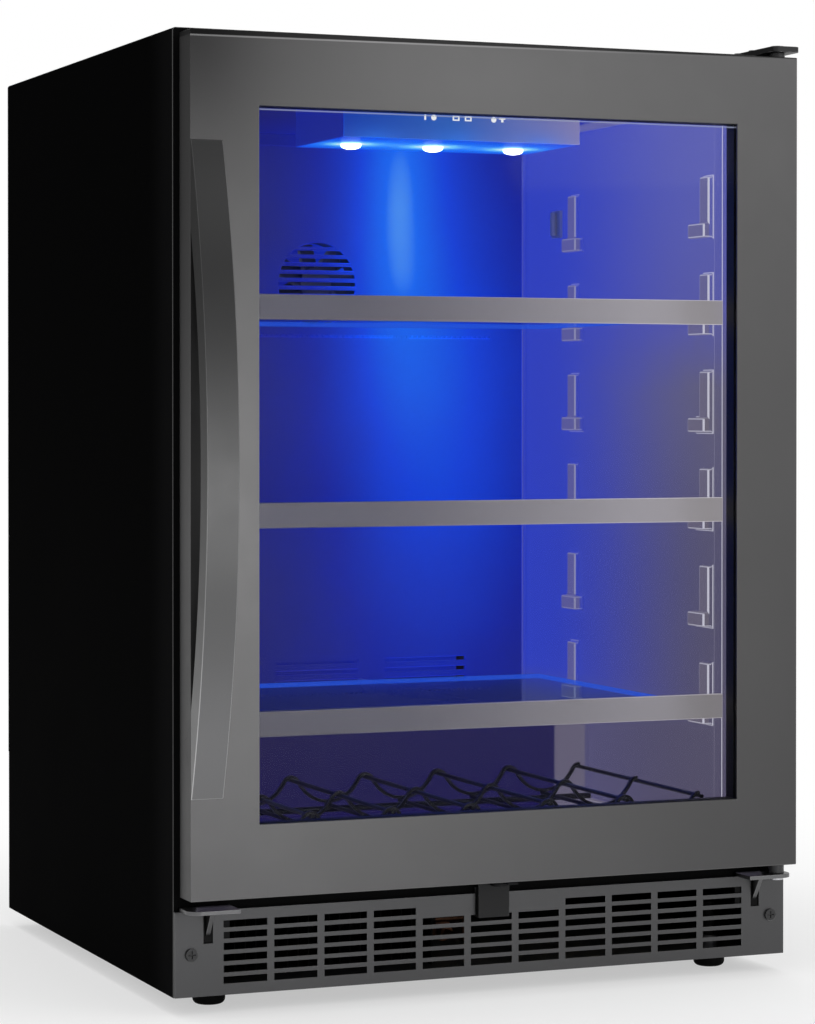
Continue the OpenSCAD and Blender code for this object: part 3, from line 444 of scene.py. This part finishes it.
def copper(name):
    """Drawn copper tube: warm, with dull brown oxide clouds."""
    f = Finish(name)
    oxide = f.noise(16, 4.0, 0.65).above(0.52, 0.3)
    f.done(
        f.solid(
            # far darker than bare copper: painted shade, for the tubes seen in the dark through the grille
            Base_Color=f.mix(oxide * 0.75, (0.11, 0.05, 0.028), (0.03, 0.016, 0.01)),
            Metallic=0.95,
            Roughness=0.3 + oxide * 0.25,
            Normal=f.bump(f.noise(1.2, 2.0), 0.01),
        )
    )


def fins(name):
    """Thin aluminium sheets, slightly dented, with clouds of dust."""
    f = Finish(name)
    dust = f.noise(18, 4.0, 0.7).above(0.5, 0.4)
    f.done(
        f.solid(
            Base_Color=f.mix(dust * 0.5, (0.62, 0.63, 0.65), (0.3, 0.29, 0.27)),
            Metallic=0.9,
            Roughness=0.34 + dust * 0.3,
            Normal=f.bump(f.noise(5, 3.0), 0.15),
        )
    )


def foam(name):
    """Cast insulating foam: a pale skin with pores and stains."""
    f = Finish(name)
    pores = f.cells(1.6)
    stains = f.noise(25, 4.0, 0.6)
    f.done(
        f.solid(
            Base_Color=f.ramp(stains, [(0.3, (0.62, 0.5, 0.24)), (0.7, (0.8, 0.7, 0.42))]),
            Roughness=0.85 - pores * 0.1,
            Specular_IOR_Level=0.2,
            Normal=f.bump(pores, 0.25),
        )
    )


def circuit(name):
    """A green circuit board: tracks in straight lines under the lacquer."""
    f = Finish(name)
    tracks = (f.stripes("X", 2.4) * f.stripes("Y", 1.9)).above(0.3, 0.1)
    tracks = tracks * f.noise(11, 2.0).above(0.5, 0.1)
    f.done(
        f.solid(
            Base_Color=f.mix(tracks, (0.012, 0.09, 0.035), (0.03, 0.2, 0.09)),
            Roughness=0.3 + f.noise(6, 2.0) * 0.2,
            Normal=f.bump(tracks, 0.03),
        )
    )


def pane(name, tint, gloss, index):
    """Clear glass: a weak reflection, faint wiped marks, a painted highlight line at the top of the foremost
    sheet.
    """
    f = Finish(name)
    wipes = f.noise(45, 4.0, 0.6, (1, 1, 2.5), 0.8).above(0.55, 0.4)
    through = f.add("ShaderNodeBsdfTransparent", {}, {"Color": tint})
    shine = f.add("ShaderNodeBsdfGlossy", {}, {"Color": (0.5, 0.5, 0.52), "Roughness": gloss + wipes * 0.05})
    slant = f.add("ShaderNodeFresnel", {}, {"IOR": index})
    clear = f.blend(slant * (1 + wipes * 0.3), through, shine)
    half = room_high.x - 0.03
    # the painted highlight line, just under the top of the view through the door
    line = f.axis("Z").between(view_top - 0.0030, view_top - 0.0020, 0.0005)
    line = line * f.axis("X").between(-half, half, 0.002) * f.axis("Y").below(frame_low.y + 0.01, 0.001)
    rim = f.add("ShaderNodeEmission", {}, {"Color": (0.5, 0.55, 0.75), "Strength": 0.7})
    f.done(f.blend(line * 0.4, clear, rim))


# ---- lit surfaces inside the fridge ------------------------------------------------------------


def lamp_light(f, reach):
    """The sum over the lamps of 1 / (1 + (distance / reach) squared)."""
    return sum(1 / ((f.away((x, LENS_Y, LENS_Z)) / reach) ** 2 + 1) for x in LAMP_XS)


def lit_blue(f, level):
    """The blue lamp light on a wall: navy where it is weak, clear blue near the lamps."""
    return f.ramp(
        level,
        [
            (0.0, (0.016, 0.011, 0.07)),
            (0.12, (0.011, 0.012, 0.15)),
            (0.3, (0.004, 0.015, 0.38)),
            (0.55, (0.002, 0.055, 0.8)),
            (0.8, (0.006, 0.15, 1.0)),
            (1.0, (0.2, 0.6, 1.0)),
        ],
    )


def back_light(f):
    """How strongly the lamps light the back wall: most right of the middle, little under the lowest shelf."""
    high = f.spot(room_high.x * 0.326, part_way(room_low.z, room_high.z, 0.88), 0.05, 0.2)
    middle = f.spot(room_high.x * 0.543, part_way(room_low.z, room_high.z, 0.578), 0.12, 0.26)
    upper = f.axis("Z").above(trim_low.z, 0.03)
    return (high * 0.62 + middle * 0.4 + f.noise(90, 3.0) * 0.08) * (upper * 0.88 + 0.12)


def liner_finish(name):
    """The moulded liner lit by its lamps: the back wall deep blue, the sides violet.

    The shelf supports are greyer than their wall, and their upright edges catch the light.
    """
    f = Finish(name)
    fine = f.noise(1.0, 3.0, 0.6)
    clouds = f.noise(90, 3.0, 0.5)
    across = abs(f.axis("X"))
    side = across.above(room_high.x - 0.062, 0.004)
    proud = across.below(wall_x - 0.004, 0.0015)
    height = f.axis("Z") * 0.9 + lamp_light(f, 0.16) * 0.25 + (clouds - 0.5) * 0.1
    wall = f.ramp(
        height,
        [
            (0.1, (0.1, 0.086, 0.145)),
            (0.4, (0.105, 0.094, 0.155)),
            (0.62, (0.14, 0.127, 0.2)),
            (0.72, (0.115, 0.115, 0.4)),
            (0.95, (0.12, 0.13, 0.5)),
        ],
    )
    rearward = f.axis("Y").above(part_way(room_low.y, room_high.y, 0.52), 0.42)
    over_rack = f.axis("Z").above(trim_low.z, 0.04) * 0.8 + 0.12
    wall = f.mix(rearward * over_rack, wall, (0.02, 0.05, 0.62))
    wall = f.mix(proud * 0.55, wall, (0.19, 0.165, 0.2))
    edges = f.outer_edges() * f.upright()
    catch = edges * f.axis("Y").below(part_way(room_low.y, room_high.y, 0.267), 0.2) * 0.5 + edges * 0.25
    wall = f.mix(catch, wall, (0.85, 0.83, 0.95))
    plain = f.shade((0.06, 0.058, 0.07), 1 + (clouds - 0.5) * 0.2)
    f.done(
        f.solid(
            # near black away from the side walls and grey on them: painted shade on the one liner plastic
            Base_Color=f.mix(side, (0.012, 0.012, 0.02), plain),
            Roughness=0.45 + (clouds - 0.5) * 0.15,
            Specular_IOR_Level=0.15,
            Normal=f.bump(fine, 0.02),
            Emission_Color=f.mix(side, lit_blue(f, back_light(f)), wall),
            Emission_Strength=0.85,
        )
    )


def cover_finish(name):
    """The cover of the cold coil: clear blue in the lamps' light, dark in its lower part."""
    f = Finish(name)
    clouds = f.noise(60, 3.0, 0.5)
    f.done(
        f.solid(
            Base_Color=f.shade((0.012, 0.012, 0.02), 1 + (clouds - 0.5) * 0.2),
            Roughness=0.4 + (clouds - 0.5) * 0.15,
            Specular_IOR_Level=0.2,
            Normal=f.bump(f.noise(1.0, 3.0, 0.6), 0.02),
            # brighter on the rounded edges: a painted highlight
            Emission_Color=f.shade(lit_blue(f, back_light(f)), 1 + f.outer_edges() * 0.8),
            Emission_Strength=GLOW,
        )
    )


def under_lamps(f):
    """Painted lamp light on the underside round the lamps: deep blue with a ragged ice-blue halo at each one.
    """
    ragged = 0.3 + f.noise(4, 3.0, 0.8) * 1.4
    return f.ramp(
        lamp_light(f, 0.018) * ragged,
        [
            (0.0, (0.002, 0.03, 0.5)),
            (0.1, (0.002, 0.07, 0.85)),
            (0.3, (0.01, 0.22, 1.0)),
            (0.6, (0.25, 0.8, 1.0)),
            (0.85, (1.0, 1.0, 1.0)),
        ],
    )


def along_fascia(f):
    """0 at the control strip's left end and 1 at its right end."""
    return (f.axis("X") - fascia_low.x) / (fascia_high.x - fascia_low.x)


def housing_finish(name):
    """The lamp housing: painted lamp light, deep blue on its sides and violet grey on its front, and a lit
    underside.
    """
    f = Finish(name)
    clouds = f.noise(50, 3.0, 0.5)
    front = f.ramp(
        along_fascia(f),
        [
            (0.0, (0.006, 0.04, 0.34)),
            (0.5, (0.04, 0.1, 0.42)),
            (1.0, (0.21, 0.19, 0.42)),
        ],
    )
    front = f.mix(f.turned("X"), front, (0.006, 0.016, 0.3))
    f.done(
        f.solid(
            Base_Color=f.shade((0.03, 0.03, 0.04), 1 + (clouds - 0.5) * 0.2),
            Roughness=0.4 + (clouds - 0.5) * 0.15,
            Specular_IOR_Level=0.2,
            Normal=f.bump(f.noise(0.9, 3.0, 0.6), 0.02),
            # brighter on the rounded edges: a painted highlight
            Emission_Color=f.mix(f.turned("Z"), f.shade(front, 1 + f.outer_edges() * 0.5), under_lamps(f)),
            Emission_Strength=GLOW,
        )
    )


MARK_DOTS = (-0.0295, 0.030)  # their places from the middle of the strip
MARK_SQUARES = (-0.0075, 0.0045)
MARK_BARS = (  # x, height over the row, half width, half height
    (-0.038, 0, 0.0009, 0.0024),
    (0.0385, 0.0012, 0.0032, 0.0008),
    (0.0385, -0.0008, 0.0012, 0.0013),
)


def lit_marks(f):
    """1 on the control strip's small lit marks: dots, bars and open squares in one row."""
    row = part_way(fascia_low.z, fascia_high.z, 0.5284)
    dots = [f.dot(x, row, 0.0026) for x in MARK_DOTS]
    bars = [f.patch(x, row + up, wide, high) for x, up, wide, high in MARK_BARS]
    squares = [f.patch(x, row, 0.0034, 0.0022) - f.patch(x, row, 0.002, 0.001) for x in MARK_SQUARES]
    return sum(dots + bars + squares)


def fascia_finish(name):
    """The glossy control strip: painted light from blue to violet grey, a glow along its foot, and its lit
    marks.
    """
    f = Finish(name)
    front = f.ramp(
        along_fascia(f),
        [
            (0.0, (0.002, 0.03, 0.4)),
            (0.45, (0.03, 0.11, 0.44)),
            (0.75, (0.14, 0.16, 0.42)),
            (1.0, (0.26, 0.22, 0.42)),
        ],
    )
    foot = sum(f.spot(x - 0.004, fascia_low.z - 0.003, 0.02, 0.009) for x in LAMP_XS)
    front = f.mix(foot * 0.6, front, (0.004, 0.2, 1.0))
    smudge = f.noise(26, 4.0, 0.6)
    f.done(
        f.solid(
            Base_Color=f.shade((0.02, 0.02, 0.024), 0.8 + smudge * 0.4),
            Roughness=0.12 + smudge * 0.12,
            Specular_IOR_Level=0.25,
            Normal=f.bump(smudge, 0.01),
            # brighter on the rounded edges: a painted highlight
            Emission_Color=f.mix(lit_marks(f), f.shade(front, 1 + f.outer_edges() * 0.5), (1.0, 1.0, 1.0)),
            Emission_Strength=GLOW,
        )
    )


def lens_finish(name):
    """A lamp's lens: white hot in the middle and ice blue at its rim."""
    f = Finish(name)
    heat = lamp_light(f, 0.008)
    f.done(
        f.solid(
            Base_Color=(0.7, 0.8, 0.95),
            Roughness=0.2 + f.noise(2, 2.0) * 0.1,
            Emission_Color=f.ramp(heat, [(0.3, (0.3, 0.8, 1.0)), (0.62, (1.0, 1.0, 1.0))]),
            Emission_Strength=4.0,
        )
    )


def trim_finish(name):
    """A shelf's steel nosing, brushed lengthways; painted light, more towards the hinges and over the lowest
    shelf.
    """
    f = Finish(name)
    lines = f.noise(0.7, 3.0, 0.6, (HAIRLINE, 1, 1))
    clouds = f.noise(110, 3.0, 0.55)
    # lighter on the rounded edges: a painted highlight
    tone = 1 + (lines - 0.5) * 0.1 + (clouds - 0.5) * 0.12 + f.outer_edges() * 0.9
    over_lowest = f.axis("Z").above(trim_high.z + 0.093, 0.1)
    light = f.axis("X").above(trim_high.x * 0.242, 0.44) * (over_lowest * 0.28 + 0.72)
    f.done(
        f.solid(
            Base_Color=f.shade((0.125, 0.117, 0.14), tone),
            Metallic=0.8,
            Roughness=0.38 + (lines - 0.5) * 0.1,
            Normal=f.bump(lines, 0.006, 0.6),
            Emission_Color=f.shade((0.34, 0.315, 0.32), light * tone),
            Emission_Strength=GLOW,
        )
    )


def shelf_pane(name):
    """A shelf's glass, faintly blue in painted lamp light: brightest on its edges, a row of frosted dots in
    front.
    """
    f = Finish(name)
    wipes = f.noise(40, 3.0, 0.6).above(0.55, 0.4)
    through = f.add("ShaderNodeBsdfTransparent", {}, {"Color": (0.72, 0.8, 0.9)})
    rim = f.upright()
    row = f.axis("Y").between(trim_low.y + 0.022, trim_low.y + 0.026, 0.0008)
    dots = row * f.stripes("X", 9).above(0.6, 0.2)
    glow = f.solid(
        Base_Color=(0.02, 0.05, 0.08),
        Roughness=0.08 + wipes * 0.1,
        Specular_IOR_Level=0.12,
        Emission_Color=f.mix(dots, f.shade((0.01, 0.05, 0.34), 1 + rim * 2.5), (0.12, 0.3, 1.0)),
        Emission_Strength=0.7,
    )
    f.done(f.blend(0.1 + rim * 0.6 + dots * 0.7, through, glow))


# its edge colour is also that of the painted highlight along the cabinet's front edges
painted(
    "cabinet_paint", (0.0018, 0.0018, 0.0019), 0.55, 0.001, 0.03, (0.09, 0.09, 0.09), dust=0.01, painted_front_light=True
)
painted("back_paint", (0.03, 0.03, 0.032), 0.5, 0.4, 0.03, dust=0.05)
zinc("galvanised")
# black paint, made darker still as painted shade for the gap between the grille and the door
painted("rail_paint", (0.003, 0.003, 0.0031), 0.5, 0.02, 0.02, (0.03, 0.03, 0.03))
foam("foam")
liner_finish("liner_plastic")
brushed("dark_steel_grille", (0.085, 0.085, 0.087), 0.42, "X")
painted("black_screws", (0.012, 0.012, 0.013), 0.35, 0.5, 0.01, (0.2, 0.2, 0.2))
brushed("bracket_steel", (0.15, 0.15, 0.153), 0.36, "X", painted_shading=hidden_web)
painted("black_bracket", (0.012, 0.012, 0.013), 0.4, 0.3, 0.02, (0.12, 0.12, 0.125))
brushed("pin_steel", (0.5, 0.5, 0.52), 0.28, "Z")
painted("strike_steel", (0.013, 0.013, 0.0135), 0.42, 0.2, 0.02, (0.06, 0.06, 0.06))
painted("compressor_paint", (0.012, 0.012, 0.013), 0.25, 0.5, 0.05, dust=0.2)
rubbery("black_rubber", (0.02, 0.02, 0.021))
moulded("black_plastic", (0.022, 0.022, 0.024), 0.5)
moulded("rotor_plastic", (0.08, 0.08, 0.085), 0.42)
fins("fin_aluminium")
copper("copper")
# black paint, made darker still as painted shade, where the condenser lies in the dark behind the grille
painted("condenser_paint", (0.004, 0.004, 0.0042), 0.6, 0.05, 0.03, (0.01, 0.01, 0.01))
moulded("white_plastic", (0.68, 0.68, 0.65), 0.45)
cover_finish("cover_plastic")
housing_finish("housing_plastic")
fascia_finish("gloss_black")
circuit("board_green")
lens_finish("lamp_plastic")
brushed("dark_steel", (0.108, 0.107, 0.108), 0.4, "Z", 0.07, painted_shading=door_painted_shading)
moulded("door_liner_plastic", (0.012, 0.012, 0.013), 0.45, 0.3)
pane("clear_glass", (0.97, 0.975, 0.98), 0.01, 1.12)
painted("spacer_black", (0.006, 0.006, 0.006), 0.5, 0.3, 0.01)
rubbery("gasket_rubber", (0.03, 0.03, 0.031))
brushed("handle_steel", (0.11, 0.11, 0.111), 0.36, "Z", 0.08, 2.6, handle_painted_shading)
moulded("bush_plastic", (0.04, 0.04, 0.042), 0.4)
# these two near black as painted shade: the lock's barrel and cam sit in the shade under the door
brushed("barrel_chrome", (0.02, 0.02, 0.021), 0.35, "Z", 0.04)
brushed("cam_steel", (0.016, 0.016, 0.0165), 0.45, "X")
shelf_pane("shelf_glass")
trim_finish("trim_steel")
painted("rack_wire", (0.02, 0.02, 0.024), 0.3, 0.5, 0.02, (0.1, 0.1, 0.1))
# near black as painted shade: the feet's studs stand in the dark behind the grille
painted("foot_steel", (0.006, 0.006, 0.006), 0.6, 0.05, 0.02, (0.03, 0.03, 0.03))


# ---- rounded copies of the frame's own parts ---------------------------------------------------

SHARP = math.radians(32)  # an edge that turns more than this is rounded
FLAT = math.radians(0.3)  # faces that turn less than this are joined before the rounding
SAME_POINT = 2e-6  # corners nearer than this, in metres, are one
STEPS = 2  # flat strips on a rounded edge
NEAR_FACE = math.cos(math.radians(28))  # how alike two normals are before they blend, on a face
NEAR_STRIP = math.cos(math.radians(62))  # and on a strip of a rounded edge
TINY = 1e-12  # keeps a sliver's size above nothing

slot_of = {part["node"]: part["material_slot"] for part in frame["record"]["subparts"]}


def finished(piece, slot):
    """Gives a piece its one finish."""
    piece.data.materials.clear()
    piece.data.materials.append(FINISHES[slot])


def placed(name, mesh, node):
    """A new piece from a mesh, riding with a node's body in place of that node, with its finish."""
    piece = bpy.data.objects.new(name, mesh)
    scene.collection.objects.link(piece)
    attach(piece, frame["nodes"][node]["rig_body"])
    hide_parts(node)
    finished(piece, slot_of[node])


def corner_normals(faces, strips):
    """A normal for each corner of each face, in order.

    A face blends its normal with those of its neighbours that lie nearly as it does, weighted by their size.
    A strip of a rounded edge takes the normals of the faces it joins, and in its middle those of the strips
    on both sides.
    """
    size = [face.calc_area() + TINY for face in faces]
    flat = [i not in strips for i in range(len(size))]
    result = []
    for i, face in enumerate(faces):
        own = face.normal
        near = NEAR_FACE if flat[i] else NEAR_STRIP
        for corner in face.loops:
            around = [g for g in corner.vert.link_faces if g.normal.dot(own) > near]
            chosen = [g for g in around if flat[g.index]] or around
            total = Vector((0, 0, 0))
            for g in chosen:
                total += g.normal * size[g.index]
            result.append(total.normalized() if total.length > 0 else own)
    return result


def runs(work):
    """The sharp edges of a mesh in groups that touch, so that a small hole limits only its own rounding."""
    order = [e for e in work.edges if len(e.link_faces) == 2 and e.calc_face_angle(0) > SHARP]
    left = set(order)
    groups = []
    for first in order:
        if first not in left:
            continue
        left.remove(first)
        group, reach = [first], [first]
        while reach:
            for vert in reach.pop().verts:
                for e in vert.link_edges:
                    if e in left:
                        left.remove(e)
                        group.append(e)
                        reach.append(e)
        groups.append(group)
    return groups


def outward(face):
    """Whether a rounded strip lies on an outer corner: its neighbours then lie behind it."""
    middle = face.calc_center_median()
    near = [g.calc_center_median() for e in face.edges for g in e.link_faces]
    return sum((point - middle).dot(face.normal) for point in near) < 0


def eased(node, width):
    """Puts a copy in a part's place, with its edges rounded by width millimetres.

    The strips on its outer corners carry edge = 1, where the finishes put scuffs or a painted highlight.
    """
    work = bmesh.new()
    work.from_mesh(frame["nodes"][node].data)
    bmesh.ops.remove_doubles(work, verts=work.verts, dist=SAME_POINT)
    bmesh.ops.dissolve_limit(
        work, angle_limit=FLAT, verts=work.verts, edges=work.edges, use_dissolve_boundaries=False
    )
    mark = work.faces.layers.float.new("edge")
    for corners in runs(work):
        made = bmesh.ops.bevel(
            work, geom=corners, offset=width / 1000, offset_type="OFFSET", segments=STEPS, profile=0.5,
            affect="EDGES", clamp_overlap=True, loop_slide=True,
        )
        for face in made["faces"]:
            face[mark] = 1.0
    work.faces.index_update()
    work.normal_update()
    strips = {face.index for face in work.faces if face[mark] > 0.5}
    for face in work.faces:
        face[mark] = float(face.index in strips and outward(face))
    normals = corner_normals(work.faces, strips)
    mesh = bpy.data.meshes.new(node + "_eased")
    work.to_mesh(mesh)
    work.free()
    mesh.shade_smooth()
    mesh.normals_split_custom_set(normals)
    placed(node + "_eased", mesh, node)


SLIGHT = 0.25  # millimetres, for every part that isn't named here
EASED = {  # millimetres
    "door_frame": 0.8,
    "cabinet_wrap": 1.2,
    "kick_grille": 0.35,
    "handle_bar": 1.2,
    "lower_hinge_bracket": 0.4,
    "spare_hinge_bracket": 0.4,
    "upper_hinge_bracket": 0.5,
    "lock_strike": 0.4,
    "back_panel": 0.3,
    "machine_cover": 0.6,
    "control_housing": 0.8,
    "control_fascia": 0.4,
    "evaporator_cover": 0.8,
    "inner_liner": 1.5,
    "top_shelf_trim": 0.5,
    "middle_shelf_trim": 0.5,
    "bottom_shelf_trim": 0.5,
    "door_inner_frame": 1.0,
    "front_rail": 0.4,
    "base_pan": 0.4,
    "power_board_box": 1.0,
    "relay_box": 1.0,
    "drip_tray": 0.8,
}
LEFT_AS_THEY_ARE = {"condenser", "evaporator", "insulation", "door_foam", "glass_spacer", "lamp_lenses"}
for node in frame["nodes"]:
    if node not in LEFT_AS_THEY_ARE:
        eased(node, EASED.get(node, SLIGHT))
for node, part in frame["nodes"].items():
    finished(part, slot_of[node])


# ---- pieces of their own -----------------------------------------------------------------------

LENS_DEPTH = 0.0035  # how far a lens hangs below its housing


def lens_dome(x, index):
    """One lamp's lens, a shallow dome under the housing: z = z0 - h cos(t), r = R sin(t), with a flat top."""
    rings, spokes = 8, 32
    t = np.linspace(0, math.pi / 2, rings + 1)[1:, None]
    a = np.arange(spokes) * 2 * math.pi / spokes
    r = LENS_R * np.sin(t)
    z = LENS_Z - LENS_DEPTH * np.cos(t) + 0 * a
    dome = np.stack([x + r * np.cos(a), LENS_Y + r * np.sin(a), z], axis=-1).reshape(-1, 3)
    top = dome[-spokes:] + (0, 0, lens_high.z - LENS_Z)
    points = np.vstack([[(x, LENS_Y, LENS_Z - LENS_DEPTH)], dome, top])
    here = 1 + np.arange(spokes)
    there = np.roll(here, -1)
    up = spokes * np.arange(rings)[:, None]
    fan = np.stack([0 * here, there, here], axis=-1)
    bands = np.stack([here + up, there + up, there + up + spokes, here + up + spokes], axis=-1)
    faces = fan.tolist() + bands.reshape(-1, 4).tolist() + [(here + rings * spokes).tolist()]
    mesh = bpy.data.meshes.new(f"lens_dome_{index}")
    mesh.from_pydata(points.tolist(), [], faces)
    mesh.shade_smooth()
    mesh.set_sharp_from_angle(angle=math.radians(50))
    placed(f"lens_dome_{index}", mesh, "lamp_lenses")


for index, x in enumerate(LAMP_XS):
    lens_dome(x, index)


# ---- camera, floor and light -------------------------------------------------------------------


def camera():
    """A long lens a little above the middle of the door, to the left of the front."""
    dip, swing = 0.56, 22.48  # degrees below level and to the right
    data = bpy.data.cameras.new("camera")
    data.lens = 110.27
    data.sensor_width = 36.0
    data.shift_x = 0.0023
    data.shift_y = -0.0709
    data.clip_end = 60.0
    eye = bpy.data.objects.new("camera", data)
    eye.location = (-1.14176, -2.78803, 0.5227)
    eye.rotation_euler = (math.radians(90 - dip), 0, math.radians(-swing))
    scene.collection.objects.link(eye)
    scene.camera = eye


def soft_box(name, place, aim, width, height, watts, mirrored=True):
    """A rectangular lamp at place that faces the point aim. Not mirrored, it shows in no reflection."""
    data = bpy.data.lights.new(name, "AREA")
    data.shape = "RECTANGLE"
    data.size, data.size_y = width, height
    data.energy = watts
    lamp = bpy.data.objects.new(name, data)
    lamp.location = place
    lamp.rotation_mode = "QUATERNION"
    lamp.rotation_quaternion = (Vector(aim) - Vector(place)).to_track_quat("-Z", "Y")
    lamp.visible_glossy = mirrored
    scene.collection.objects.link(lamp)


FLOOR_REACH = 30.0  # from the middle to each side
WHITE = (1, 1, 1)


def floor():
    """A wide pale floor: matt near the fridge, where its shadow falls, and plain white far from it."""
    mesh = bpy.data.meshes.new("floor")
    r = FLOOR_REACH
    mesh.from_pydata([(-r, -r, 0), (r, -r, 0), (r, r, 0), (-r, r, 0)], [], [(0, 1, 2, 3)])
    plane = bpy.data.objects.new("floor", mesh)
    scene.collection.objects.link(plane)
    f = Finish("floor")
    grey = f.shade((0.93, 0.93, 0.93), 1 + f.noise(60, 3.0) * 0.01)
    matt = f.add("ShaderNodeBsdfDiffuse", {}, {"Color": grey})
    plain = f.add("ShaderNodeEmission", {}, {"Color": WHITE, "Strength": 1.0})
    far = 0.5 + f.away((0, 0, 0)).above(0.85, 0.8) * 0.5
    seen = f.add("ShaderNodeLightPath", {}, {}, "Is Camera Ray")
    mirrored = f.add("ShaderNodeLightPath", {}, {}, "Is Glossy Ray")
    f.done(f.blend(far * (seen + mirrored * 0.3), matt, plain))
    mesh.materials.append(FINISHES["floor"])


def surroundings():
    """A pale room: white to the eye and, behind the fridge, in reflections; dimmer to its left and above."""
    world = bpy.data.worlds.new("surroundings")
    scene.world = world
    world.use_nodes = True
    f = Surface(world.node_tree, "Generated")
    eye_ray = f.add("ShaderNodeLightPath", {}, {}, "Is Camera Ray")
    mirror_ray = f.add("ShaderNodeLightPath", {}, {}, "Is Glossy Ray")
    through_ray = f.add("ShaderNodeLightPath", {}, {}, "Is Transmission Ray")
    behind = f.axis("Y").above(0.1, 0.6)
    left = f.axis("X").below(-0.05, 0.3)
    overhead = f.axis("Z").above(0.35, 0.5)
    reflected = (0.75 + behind * 0.25 - behind * left * 0.9) * (1 - overhead * 0.8)
    seen = eye_ray + through_ray
    level = seen + (1 - seen) * (mirror_ray * reflected + (1 - mirror_ray) * 0.7)
    f.close("ShaderNodeOutputWorld", f.add("ShaderNodeBackground", {}, {"Color": WHITE, "Strength": level}))


camera()
floor()
surroundings()
soft_box("key", (2.2, -2.8, 2.0), (0, -0.2, 0.5), 2.2, 2.2, 26)
soft_box("panel", (0.46, -3.0, 0.36), (-0.3, -0.26, 0.4), 0.52, 0.7, 7)
soft_box("top", (0, 0.1, 2.8), (0, 0, 0.8), 2.4, 2.4, 26, mirrored=False)
